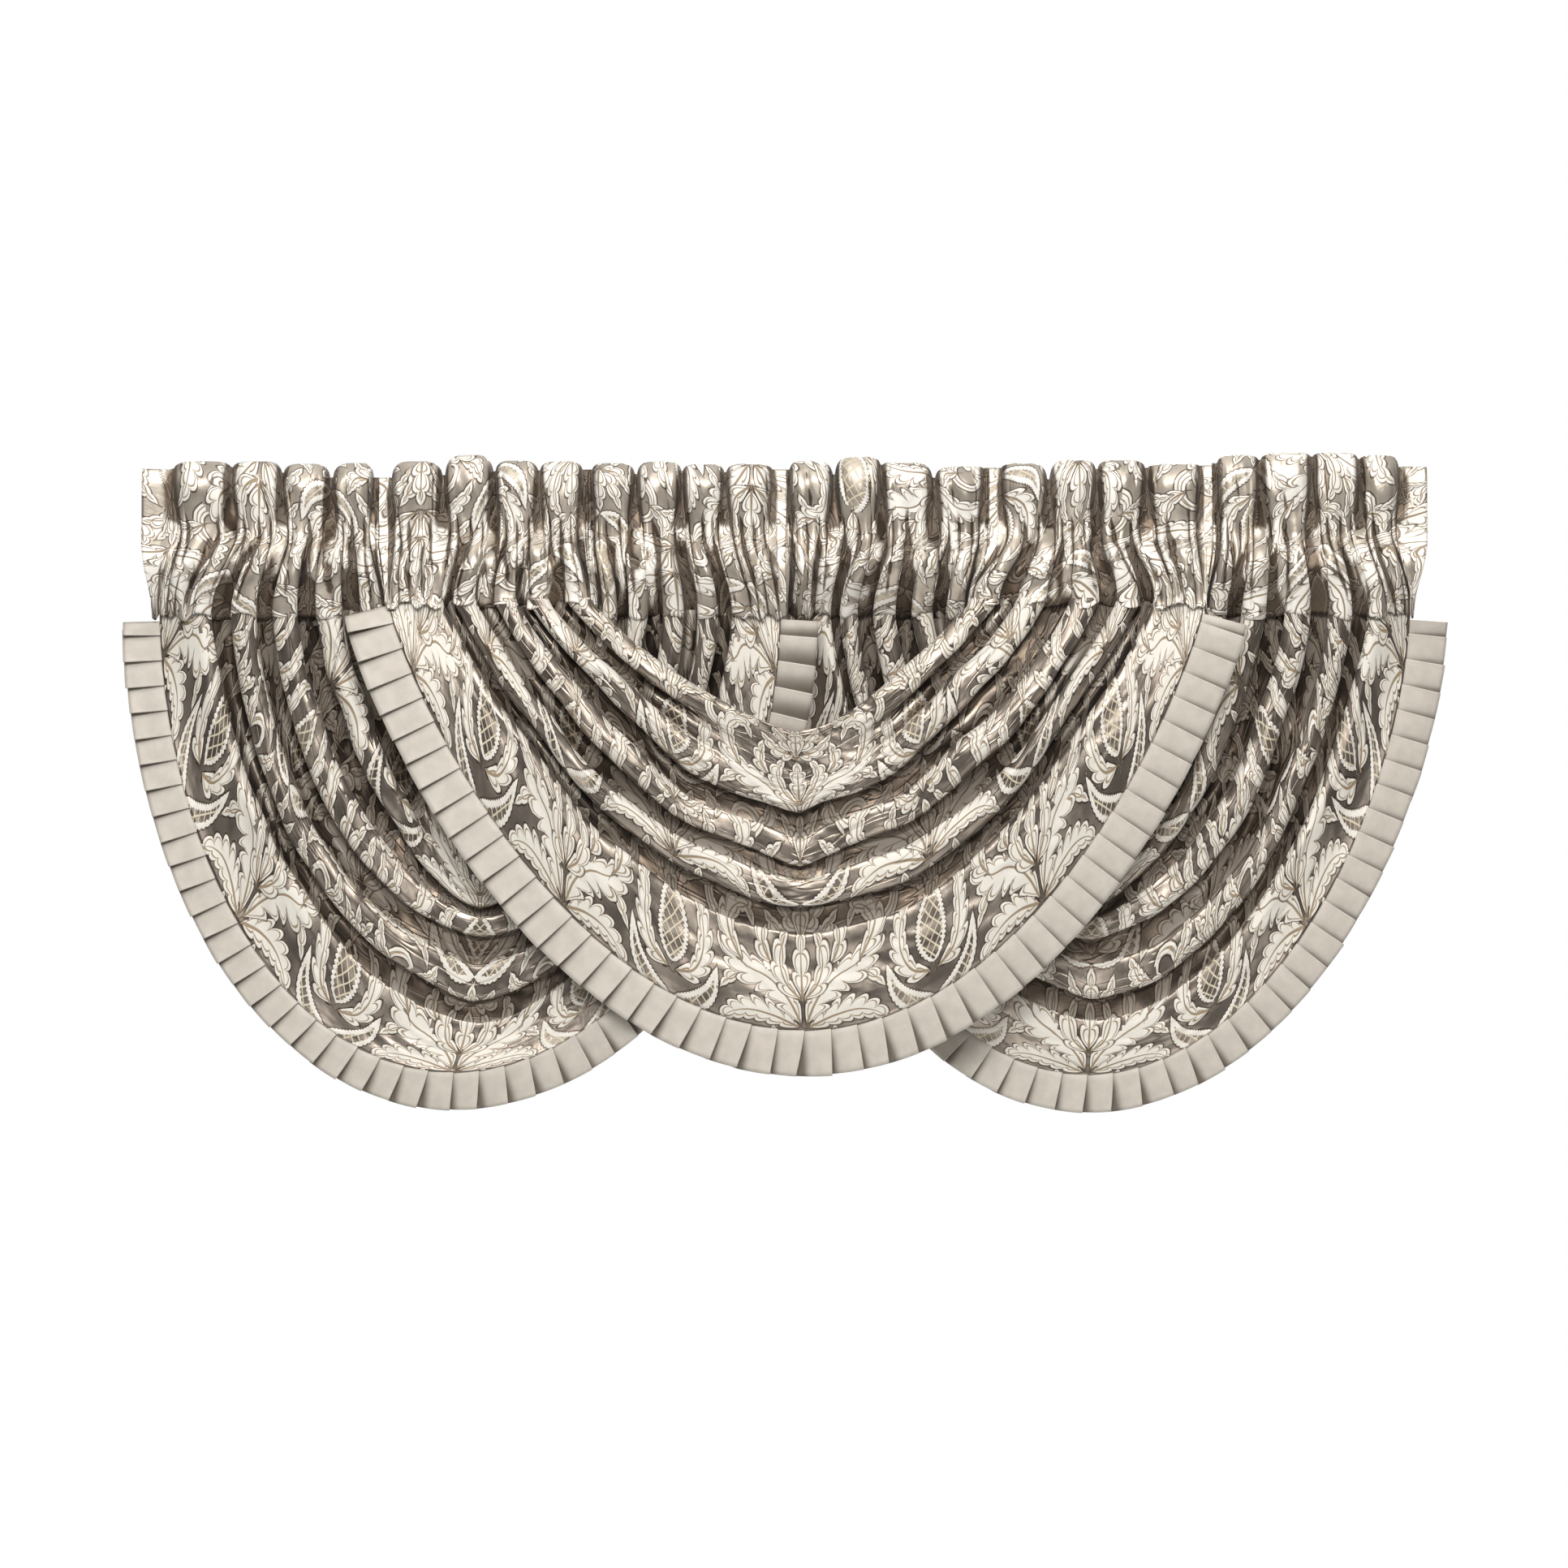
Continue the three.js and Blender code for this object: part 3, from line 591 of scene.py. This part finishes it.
def ribbon_points(name, hem):
    """The knife-pleated ribbon as a grid of points, along the hem by across it, and their painted shade."""
    swag = SWAGS[name]
    rng = np.random.default_rng(len(name))
    length = run_lengths(hem[None], 1)[0]
    half, total = length[STATIONS // 2], length[-1]
    marks = np.arange(PLEATS + 1) / (PLEATS / 2)
    bounds = np.where(marks <= 1, marks * half, half + (marks - 1) * (total - half))
    bounds[0], bounds[-1] = swag["start"][0], total - swag["start"][1]
    even = np.linspace(0, total, HEM_STEPS)
    even_hem = np.stack([np.interp(even, length, hem[:, i]) for i in range(3)], axis=1)

    def sewn(a):
        return np.stack([np.interp(a, even, even_hem[:, i]) for i in range(3)], axis=-1)

    def outward(a):
        along = sewn(np.minimum(a + HEM_REACH, total)) - sewn(np.maximum(a - HEM_REACH, 0))
        out = np.stack([along[..., 2], 0 * along[..., 0], -along[..., 0]], axis=-1)
        return out / np.linalg.norm(out, axis=-1)[..., None]

    rows, shades = [], []
    across = np.linspace(0, 1, RIBBON_STEPS + 1)
    turned_row = len(PLEAT_UNDER) + PANEL_STEPS + 1
    for i in range(PLEATS):
        start, end = bounds[i], bounds[i + 1]
        width = end - start
        lap = min(PLEAT_LAP, width * LAP_MOST) * rng.uniform(0.85, 1.15)
        flare = rng.uniform(0.6, 1.5)
        gape = rng.uniform(0.2, 1.0) ** 1.5
        longer = rng.uniform(-1.2, 0.8)
        lean = rng.uniform(-0.02, 0.02)
        middle = outward((start + end) / 2)
        turn = np.linalg.norm(outward(end) - outward(start))
        open_at_edge = gape * turn * swag["ribbon"] * PLEAT_OPENING
        panel = pleat_rows(start, end, lap, i == 0, i == PLEATS - 1)
        for row, (a, forward) in enumerate(panel):
            way = (a - start) / width
            # Painted shadow of the pleat before, across this panel; painted shade on rows turned under.
            under = 0.5 * (1 - smooth(way, 0, 0.28))
            if row < len(PLEAT_UNDER) or row > turned_row:
                under = 0.9
            shade = np.full(len(across), under) * smooth(across, -0.3, 0.5)
            near_fold = np.clip((a - (start + 0.3 * width)) / (0.7 * width), 0, 1)
            place = np.clip(a - open_at_edge * near_fold * across ** 1.3, 0, total)
            out = lerp(outward(place), middle, 0.85)
            out = out / np.linalg.norm(out, axis=-1)[:, None]
            wide = swag["ribbon"] + longer + lean * (a - start) + PLEAT_SEWN_UNDER
            point = sewn(place) + out * (across * wide - PLEAT_SEWN_UNDER)[:, None]
            spread = lerp(0.55, 1, across) * (1 + 0.5 * flare * across ** 2)
            bow = PLEAT_BOW * np.sin(math.pi * across) * np.sin(math.pi * np.clip(way, 0, 1))
            point[:, 1] += PLEAT_BACK_AT_SEAM * (1 - smooth(across, 0, 0.13)) - forward * spread - bow
            # Painted shade on the left ribbon's inner end, which hangs behind the centre swag.
            if name == "left" and point[0, 0] > INNER_RIBBON_X:
                shade = np.maximum(shade, 0.9 * (1 - smooth(way, -0.1, 1.1)))
            rows.append(point)
            shades.append(shade)
    return np.array(rows), np.array(shades)


def ribbon_weave(points):
    """Places of the ribbon's points on the flat strip: along it and across it."""
    along = run_lengths(points, 0).mean(axis=1)
    across = run_lengths(points, 1).mean(axis=0)
    return np.stack(np.broadcast_arrays(along[:, None], across[None, :]), axis=-1)


# The damask's figure on the flat cloth, half of a repeat: it is mirrored about its left and right edges,
# and repeated half a drop lower from its right edge. Each motif has its spine, half width and lobes; a
# stem has no lobes and a netted fruit or crescent counts as -1. Later motifs lie over earlier ones.
REPEAT = (171.0, 338.0)
MOTIFS = [
    ([(2, 164), (29, 169), (52, 187), (63, 218)], 11, -1),
    ([(0, 200), (0, 236), (0, 277)], 23, -1),
    ([(99, 106), (117, 124), (113, 148), (94, 155), (83, 144), (90, 135)], 7, 0),
    ([(113, 137), (130, 148), (133, 171)], 11, 3),
    ([(76, 137), (61, 142), (50, 160)], 11, 4),
    ([(54, 58), (83, 50), (104, 31)], 10, 4),
    ([(7, 193), (31, 203), (44, 230), (41, 263), (25, 283)], 14, 7),
    ([(3, 281), (16, 301), (43, 308)], 11, 4),
    ([(2, 286), (11, 310), (25, 328)], 9, 3),
    ([(0, 272), (0, 297), (0, 333)], 9, 3),
    ([(7, 2), (36, 12), (68, 14), (95, 4), (108, -13)], 16, 7),
    ([(4, 7), (18, 34), (41, 54), (72, 63), (95, 86), (99, 119)], 21, 8),
    ([(76, 68), (93, 92), (90, 119), (70, 129), (59, 113)], 14, 6),
    ([(38, 70), (49, 88), (43, 117)], 10, 3),
    ([(3, 36), (20, 52), (27, 77), (16, 103)], 12, 4),
    ([(0, 40), (0, 67), (0, 104)], 11, 3),
    ([(3, 112), (25, 112), (45, 128)], 10, 4),
    ([(2, 117), (16, 128), (29, 151)], 10, 3),
    ([(0, 110), (0, 131), (0, 160)], 10, 3),
]
HEM_ON_CHART = -2
FULL_LEAF = 1.08
SPINE_STEPS = 16
TAPER = (0.8, 0.7)
MOTIF_MARGIN = 8
CHART_MARGIN = 60
FACE_MARGIN = 2.5
# Fields where no motif lies: share along, a distance beyond every motif, half width, lobes.
NO_MOTIF = (0.0, 400.0, 1.0, 0.0)


def chart():
    """Every motif that reaches into one repeat: spine at even steps, half width, lobes and convex side."""
    wide, high = REPEAT
    found = []
    for points, half, lobes in MOTIFS:
        curve = catmull(np.array(points, float), SPINE_STEPS)
        run = run_lengths(curve[None], 1)[0]
        even = np.linspace(0, run[-1], SPINE_STEPS + 1)
        spine = np.stack([np.interp(even, run, curve[:, i]) for i in (0, 1)], axis=1)
        steps = np.diff(spine, axis=0)
        turn = np.sum(steps[:-1, 0] * steps[1:, 1] - steps[:-1, 1] * steps[1:, 0])
        outer = -1 if turn > -1 else 1
        twin = np.stack([wide - spine[:, 0], spine[:, 1] + high / 2], axis=1)
        for copy, convex in ((spine, outer), (twin, -outer)):
            for drop in (-high, 0, high):
                moved = copy + (0, drop)
                if moved[:, 1].max() > -CHART_MARGIN and moved[:, 1].min() < high + CHART_MARGIN:
                    found.append((moved, half * (FULL_LEAF if lobes > 0 else 1), lobes, convex))
    return found


def along_spine(spine, places):
    """Share of the way along a motif's spine and signed distance from it."""
    start, step = spine[:-1], np.diff(spine, axis=0)
    offset = places[:, None, :] - start[None]
    t = np.clip((offset * step).sum(-1) / (step * step).sum(-1), 0, 1)
    away = np.linalg.norm(offset - t[..., None] * step, axis=-1)
    i = away.argmin(axis=1)
    row = np.arange(len(places))
    side = np.where(step[i, 0] * offset[row, i, 1] < step[i, 1] * offset[row, i, 0], -1, 1)
    return (i + t[row, i]) / len(step), away[row, i] * side


def motif_fields(weave, faces):
    """For each face's corners, the two motifs that may cover it: share along, distance, half, lobes."""
    wide, high = REPEAT
    corner = weave[faces].reshape(-1, 4, 2)
    middle = corner.mean(axis=1)
    turns = np.floor(middle[:, 0] / wide)
    odd = np.mod(turns, 2)
    base_u = ((turns + odd) * wide)[:, None]
    base_v = (np.floor(middle[:, 1] / high) * high)[:, None]
    u = (1 - 2 * odd)[:, None] * (corner[..., 0] - base_u)
    folded = np.stack([u, corner[..., 1] - base_v], axis=-1)
    centre = folded.mean(axis=1)
    reach = np.linalg.norm(folded - centre[:, None], axis=-1).max(axis=1) + FACE_MARGIN
    fields = np.tile(np.array(NO_MOTIF), (2, len(faces), 4, 1))
    for spine, half, lobes, convex in chart():
        low, top = spine.min(axis=0) - half - MOTIF_MARGIN, spine.max(axis=0) + half + MOTIF_MARGIN
        near = np.where(((centre > low) & (centre < top)).all(axis=1))[0]
        t, away = along_spine(spine, centre[near])
        width = half * np.sin(math.pi * np.clip(t, 0.03, 1) ** TAPER[0]) ** TAPER[1]
        covered = near[np.abs(away) - width < reach[near]]
        t, away = along_spine(spine, folded[covered].reshape(-1, 2))
        values = np.stack([t, away * convex, np.full_like(t, half), np.full_like(t, lobes)], axis=-1)
        fields[1][covered] = fields[0][covered]
        fields[0][covered] = values.reshape(-1, 4, 4)
    return fields


def add_object(name, data):
    made = bpy.data.objects.new(name, data)
    bpy.context.collection.objects.link(made)
    return made


def make_cloth(name, points, weave, thickness, finishes, shade, figured=True):
    """A sheet of cloth as a mesh of its own thickness, with its flat places as its UV map."""
    rows, columns = points.shape[:2]
    index = np.arange(rows * columns).reshape(rows, columns)
    corners = (index[:-1, :-1], index[1:, :-1], index[1:, 1:], index[:-1, 1:])
    faces = np.stack(corners, axis=-1).reshape(-1, 4)
    mesh = bpy.data.meshes.new(name)
    mesh.from_pydata((points.reshape(-1, 3) * MM).tolist(), [], faces.tolist())
    flat = weave.reshape(-1, 2)
    uv = mesh.uv_layers.new(name="weave")
    uv.data.foreach_set("uv", (flat[faces.ravel()] * MM).astype(np.float32).ravel())
    # The shade is painted: the finishes multiply it into the cloth's colour.
    painted_shade = mesh.attributes.new("painted_shade", "FLOAT", "POINT")
    painted_shade.data.foreach_set("value", shade.astype(np.float32).ravel())
    if figured:
        for field_name, values in zip(("motif_over", "motif_under"), motif_fields(flat, faces)):
            field = mesh.attributes.new(field_name, "FLOAT_COLOR", "CORNER")
            field.data.foreach_set("color", values.astype(np.float32).ravel())
    for finish in finishes:
        mesh.materials.append(finish)
    mesh.polygons.foreach_set("use_smooth", np.ones(len(faces), bool))
    mesh.update()
    cloth = add_object(name, mesh)
    bpy.context.view_layer.objects.active = cloth
    wall = cloth.modifiers.new("thickness", "SOLIDIFY")
    wall.thickness = thickness * MM
    wall.offset = 0
    wall.material_offset = 1
    bpy.ops.object.modifier_apply(modifier=wall.name)
    return cloth


def operation(kind):
    return lambda value, *others: value.maths(kind, *others)


class Value:
    """A number that varies over a surface, for use in expressions."""

    def __init__(self, finish, socket):
        self.finish = finish
        self.socket = socket

    def maths(self, kind, *others):
        return self.finish.value("Math", dict(enumerate((self, *others))), operation=kind)

    def __rsub__(self, other):
        return self * -1 + other

    __add__ = __radd__ = operation("ADD")
    __sub__ = operation("SUBTRACT")
    __mul__ = __rmul__ = operation("MULTIPLY")
    __truediv__ = operation("DIVIDE")
    __pow__ = operation("POWER")
    __abs__ = operation("ABSOLUTE")
    __lt__ = operation("LESS_THAN")
    __gt__ = operation("GREATER_THAN")


# Sockets of a mix node for a factor and two colours, and for the mixed colour.
MIX_SOCKETS, MIXED = (0, 6, 7), 2
LINE_SOFT = 0.35


class Finish:
    """A material or world with its shader, and the nodes that feed it."""

    def __init__(self, owner, shader="Principled BSDF"):
        owner.use_nodes = True
        self.owner = owner
        self.tree = owner.node_tree
        self.shader = self.tree.nodes[shader]

    def dress(self, **sockets):
        """Feed the shader's sockets, which are named with underscores for spaces."""
        for socket, value in sockets.items():
            self.feed(self.shader.inputs[socket.replace("_", " ")], value)
        return self.owner

    def feed(self, socket, value):
        if isinstance(value, Value):
            value = value.socket
        if isinstance(value, bpy.types.NodeSocket):
            self.tree.links.new(value, socket)
        else:
            socket.default_value = value

    def node(self, kind, inputs, **settings):
        made = self.tree.nodes.new("ShaderNode" + kind)
        for key, value in settings.items():
            setattr(made, key, value)
        for key, value in inputs.items():
            self.feed(made.inputs[key], value)
        return made

    def value(self, kind, inputs, **settings):
        return Value(self, self.node(kind, inputs, **settings).outputs[0])

    def step(self, value, low, high):
        """Like smooth, for a value on the surface; low may be above high."""
        inputs = {"Value": value, "From Min": low, "From Max": high}
        return self.value("MapRange", inputs, interpolation_type="SMOOTHSTEP")

    def band(self, value, middle, half):
        return self.step(abs(value - middle), half + LINE_SOFT, half - LINE_SOFT)

    def mix(self, factor, a, b, blend="MIX"):
        inputs = dict(zip(MIX_SOCKETS, (factor, a, b)))
        return Value(self, self.node("Mix", inputs, data_type="RGBA", blend_type=blend).outputs[MIXED])

    def noise(self, place, scale, detail, rough=0.5):
        inputs = {"Vector": place, "Scale": scale, "Detail": detail, "Roughness": rough}
        return self.value("TexNoise", inputs)

    def weave(self):
        """Places on the flat cloth, in metres."""
        return self.node("UVMap", {}, uv_map="weave").outputs[0]

    def painted_shade(self):
        """The painted shade that the cloth carries in its hollows, which darkens its colour."""
        return Value(self, self.node("Attribute", {}, attribute_name="painted_shade").outputs["Fac"])


def colour(red, green, blue):
    """An sRGB colour of 0 to 255 as the linear colour that a shader takes."""
    def linear(c):
        c /= 255
        return c / 12.92 if c <= 0.04045 else ((c + 0.055) / 1.055) ** 2.4
    return (linear(red), linear(green), linear(blue), 1)


def toned(tone, share):
    return tuple(share * c for c in tone[:3]) + (1,)


# Damasks: colours of leaf, ground, gold line and outline, shares of the ground's painted light and dark
# sheen, its roughness and metal, strength of the painted shade in the hollows, and the creases' scale to
# the metre and their start above the sewn edge.
NO_CREASES = 9000
DAMASKS = {
    "damask_face": (
        colour(224, 218, 207), colour(166, 154, 141), colour(150, 132, 107), colour(102, 88, 75),
        (1.6, 0.62), 0.31, 0.85, 0.9, (7, 75, 1), HEM_ON_CHART + 90),
    # The headings' face is painted lighter in leaf and ground, for the light that the header catches.
    "heading_face_painted_lighter": (
        colour(238, 233, 224), colour(204, 192, 176), colour(150, 132, 107), colour(102, 88, 75),
        (1.3, 0.74), 0.34, 0.6, 1, (75, 7, 1), NO_CREASES),
    "damask_reverse": (
        colour(150, 138, 124), colour(196, 187, 172), colour(160, 146, 126), colour(130, 117, 103),
        (1, 0.72), 0.6, 0.1, 0.8, (20, 20, 1), NO_CREASES),
}
NET = colour(208, 195, 170)
RIBBON = colour(200, 192, 180)
RIBBON_THREAD = colour(176, 165, 148)
# SHADE is the colour that painted shade multiplies in.
SHADE = (0.19, 0.155, 0.125, 1)
GRAIN = (0.72, 0.68, 0.62, 1)
FLOOR_PALE = (0.8, 0.8, 0.8, 1)
WHITE = (1, 1, 1, 1)

# Drawing of the motifs: their lobes, notches and scallops, and in millimetres from a motif's edge the place
# and half width of its lines, or where a step starts and ends.
LOBE_SWEEP = 0.15
NOTCH_DEPTH = (0.3, 0.56)
INNER_SIDE = 0.66
SCALLOPS = 17
SCALLOP_LOW = 0.86
STEM_TAPER = 0.7
RIM = (0.9, 0.9)
GOLD_LINE = (-3.6, 0.7)
VEIN_HALF = 1.5
RELIEF_STEP = (0.5, -3)
NET_STEP = (-5, -6)
NET_PITCH = 13

# Surface of the damask
CREASE_FADE = 40
LEAF_ROUGHNESS = 0.6
LEAF_METAL = 0.12


def motif_shape(finish, name):
    """Distance from a motif's edge, share along its spine, distance from that, cuts between its lobes, and
    whether it is a leaf or netted."""
    field = finish.node("Attribute", {}, attribute_name=name)
    parts = finish.node("SeparateXYZ", {0: field.outputs["Vector"]})
    t, s, half = (Value(finish, parts.outputs[i]) for i in range(3))
    lobes = Value(finish, field.outputs["Alpha"])
    away = abs(s)
    leaf, netted = lobes > 0.5, lobes < -0.5
    stem = 1 - leaf - netted
    bulge = (t.maths("MAXIMUM", 0.0001) ** TAPER[0] * math.pi).maths("SINE")
    full = half * bulge.maths("MAXIMUM", 0.0) ** TAPER[1]
    swept = t - away / half * LOBE_SWEEP
    notch = abs((swept * lobes * math.pi).maths("SINE")) ** 0.62
    scallop = abs((t * (SCALLOPS * math.pi)).maths("SINE"))
    outer = s > 0
    lobed = lerp(INNER_SIDE, 1, outer) * (1 - lerp(*NOTCH_DEPTH, outer) * (1 - notch))
    outline = leaf * lobed + netted * lerp(SCALLOP_LOW, 1, scallop)
    width = full * outline + stem * half * (1 - STEM_TAPER * t)
    cut = finish.step(notch, 0.34, 0.2) * finish.step(away - 0.36 * full, 0, 1.5) * leaf
    return away - width, t, away, cut, leaf, netted


def motif_layer(finish, name, ivory, gold, ground_with_painted_sheen, net_line):
    """One layer of motifs: share inside one and on its rim, colour, share of raised cloth, and relief."""
    edge, t, away, cut, leaf, netted = motif_shape(finish, name)
    inside = finish.step(edge, 0.4, -0.4)
    gold_line = finish.band(edge, *GOLD_LINE) * (1 - netted)
    vein = finish.step(away - VEIN_HALF * (1 - t), 0.5, -0.3) * leaf
    drawn = gold_line.maths("MAXIMUM", vein).maths("MAXIMUM", cut)
    net = netted * finish.step(edge, *NET_STEP)
    bare = net * (1 - net_line)
    fill = finish.mix(drawn, ivory, gold)
    fill = finish.mix(bare, finish.mix(net, fill, NET), ground_with_painted_sheen)
    relief = inside * finish.step(edge, *RELIEF_STEP) * (1 - 0.6 * drawn) * (1 - 0.7 * bare)
    return inside, finish.band(edge, *RIM), fill, inside * (1 - bare), relief


def damask(name, ivory, ground, gold, outline, sheen, rough, metal, shade, crease, crease_from):
    """Figured damask: raised ivory leaves with fine gold lines on a satin ground."""
    finish = Finish(bpy.data.materials.new(name))
    finish.dress(Specular_IOR_Level=0.4, Sheen_Weight=0.12, Sheen_Roughness=0.5)
    weave = finish.weave()
    # Painted sheen: the ground is lighter and darker in random patches, standing for the satin's shine.
    light, dark = (toned(ground, share) for share in sheen)
    ground_with_painted_sheen = finish.mix(finish.step(finish.noise(weave, 13, 3), 0.4, 0.72), dark, light)
    place = finish.node("SeparateXYZ", {0: weave})
    u, v = (Value(finish, place.outputs[i]) * (1 / MM) for i in (0, 1))
    slants = [abs((way * (math.pi / NET_PITCH)).maths("SINE")) for way in (u + v, u - v)]
    net_line = finish.step(slants[0].maths("MINIMUM", slants[1]), 0.34, 0.2)
    painted, cover, relief = ground_with_painted_sheen, 0, 0
    for layer in ("motif_under", "motif_over"):
        inside, rim, fill, solid, height = motif_layer(finish, layer, ivory, gold, ground_with_painted_sheen, net_line)
        # A dark line along each motif's edge: partly an outline, partly painted shadow of the raised leaf.
        painted = finish.mix(rim * 0.9, painted, outline)
        painted = finish.mix(inside, painted, fill)
        cover = solid.maths("MAXIMUM", cover * (1 - inside))
        relief = height + relief * (1 - inside)

    threads = finish.noise(weave, 900, 1)
    pucker = finish.noise(weave, 90, 3, 0.6)
    wrinkles = finish.noise(weave, 26, 4, 0.6)
    scaled = finish.node("VectorMath", {0: weave, 1: crease}, operation="MULTIPLY").outputs[0]
    creases = finish.noise(scaled, 1, 1)
    creased_part = finish.step(v, crease_from, crease_from + CREASE_FADE)
    shaded_crease_line = finish.step(abs(creases - 0.5), 0.03, 0) * creased_part
    # Painted shade: the cloth's stored shade darkens its colour.
    dim = finish.step(finish.painted_shade(), 0.32, 0.85) * shade
    painted = finish.mix(dim, painted, SHADE, "MULTIPLY")
    # Painted shade along the crease lines, which the bump also presses in.
    painted = finish.mix(shaded_crease_line * 0.36, painted, SHADE, "MULTIPLY")
    painted = finish.mix(finish.step(threads, 0.35, 0.75) * 0.2, painted, GRAIN, "MULTIPLY")
    bump = relief * 0.6 + threads * 0.12 + pucker * (cover * 0.5 + 0.1) + wrinkles * 2 + creases * 2
    bump = bump - shaded_crease_line
    raised = finish.node("Bump", {"Strength": 0.5, "Distance": 0.0012, "Height": bump}).outputs[0]
    roughness = lerp(rough, LEAF_ROUGHNESS, finish.step(cover, 0, 1)) + pucker * 0.06
    metallic = lerp(metal, LEAF_METAL, cover)
    return finish.dress(Base_Color=painted, Roughness=roughness, Metallic=metallic, Normal=raised)


def satin_ribbon(name, base):
    """Plain satin ribbon with a fine cross weave."""
    finish = Finish(bpy.data.materials.new(name))
    finish.dress(Specular_IOR_Level=0.4, Sheen_Weight=0.15, Sheen_Roughness=0.5)
    weave = finish.weave()
    threads = finish.noise(weave, 1100, 1)
    slub = finish.noise(weave, 60, 3)
    painted = finish.mix(finish.step(slub, 0.25, 0.75), base, toned(base, 0.86))
    painted = finish.mix(threads * 0.25, painted, RIBBON_THREAD)
    # Painted shade under the pleats and behind the centre swag darkens the ribbon's colour.
    painted = finish.mix(finish.step(finish.painted_shade(), 0.02, 1) * 0.9, painted, SHADE, "MULTIPLY")
    bump = threads * 0.5 + slub * 0.8
    raised = finish.node("Bump", {"Strength": 0.25, "Distance": 0.0006, "Height": bump}).outputs[0]
    return finish.dress(Base_Color=painted, Roughness=slub * 0.15 + 0.42, Normal=raised)


def dress_valances():
    """Every piece of the three valances, by the node that it replaces."""
    face, upper, reverse = (damask(name, *look) for name, look in DAMASKS.items())
    ribbon = satin_ribbon("ribbon_satin", RIBBON)
    pieces = {}
    for name in SWAGS:
        points, shade = swag_points(name)
        pieces[f"{name}_body"] = make_cloth(f"{name}_swag", points, swag_weave(points), DAMASK_THICKNESS,
                                            (face, reverse), shade)
        strip, shade = ribbon_points(name, points[-1])
        pieces[f"{name}_trim"] = make_cloth(f"{name}_ribbon", strip, ribbon_weave(strip), RIBBON_THICKNESS,
                                            (ribbon, ribbon), shade, figured=False)
    for index, heading in enumerate(HEADINGS):
        node = f"{heading['swag']}_heading_{SIDE_NAMES[heading['side']]}"
        points, shade, tucked = (grid[::-1] for grid in heading_points(index))
        weave = heading_weave(points, tucked, index)
        pieces[node] = make_cloth(f"{node}_cloth", points, weave, DAMASK_THICKNESS, (upper, reverse), shade)
    return pieces


# Stage in metres: lamps with their place, aim, size and watts, and the light of the sky from the level up.
LAMPS = {
    "key": ((-0.05, -2.85, 1.65), (0, 0, -0.2), (3.2, 1.1), 120),
    "top": ((0, -1.3, 2.6), (0, 0, 0.1), (2.4, 0.8), 15),
    "fill": ((0.5, -5.0, 0.3), (0, 0, -0.3), (1.0, 1.0), 14),
    "back": ((0.5, 3.2, 1.0), (0, 0, -0.2), (1.6, 1.6), 60),
}
SKY = {"From Min": 0.0, "From Max": 0.85, "To Min": 0.05, "To Max": 0.7}
FLOOR_HALF = (2.5, 2)
FLOOR_Z = -1.6
CAMERA_PLACE = (-0.001, -6.01, -0.263)
CAMERA_LENS = 111.8
CAMERA_SENSOR = 36


def add_floor():
    (x, y), z = FLOOR_HALF, FLOOR_Z
    sheet = bpy.data.meshes.new("floor")
    sheet.from_pydata([(-x, -y, z), (x, -y, z), (x, y, z), (-x, y, z)], [], [(0, 1, 2, 3)])
    pale = Finish(bpy.data.materials.new("floor_pale"))
    sheet.materials.append(pale.dress(Base_Color=FLOOR_PALE, Roughness=0.9))
    floor = add_object("floor", sheet)


def add_lamp(name, place, aim, size, watts):
    lamp = bpy.data.lights.new(name, "AREA")
    lamp.shape = "RECTANGLE"
    lamp.size, lamp.size_y = size
    lamp.energy = watts
    box = add_object(name, lamp)
    box.location = place
    box.rotation_mode = "QUATERNION"
    box.rotation_quaternion = (Vector(aim) - Vector(place)).to_track_quat("-Z", "Y")


def add_sky():
    """A white world: plain to the camera, and its light is brighter from above."""
    world = bpy.data.worlds.new("studio")
    bpy.context.scene.world = world
    sky = Finish(world, "Background")
    way = sky.node("TexCoord", {}).outputs["Generated"]
    up = sky.node("SeparateXYZ", {0: way}).outputs["Z"]
    light = sky.value("MapRange", {"Value": up} | SKY)
    seen = sky.node("LightPath", {}).outputs["Is Camera Ray"]
    sky.dress(Color=WHITE, Strength=light.maths("MAXIMUM", seen))


def add_camera():
    lens = bpy.data.cameras.new("camera")
    lens.lens = CAMERA_LENS
    lens.sensor_width = CAMERA_SENSOR
    camera = add_object("camera", lens)
    camera.location = CAMERA_PLACE
    camera.rotation_euler = (math.pi / 2, 0, 0)
    bpy.context.scene.camera = camera


def set_stage():
    add_floor()
    for name, settings in LAMPS.items():
        add_lamp(name, *settings)
    add_sky()
    add_camera()
    bpy.context.scene.view_settings.view_transform = "Standard"


set_stage()
pieces = dress_valances()
for node, piece in pieces.items():
    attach(piece, "root")
    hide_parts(node)
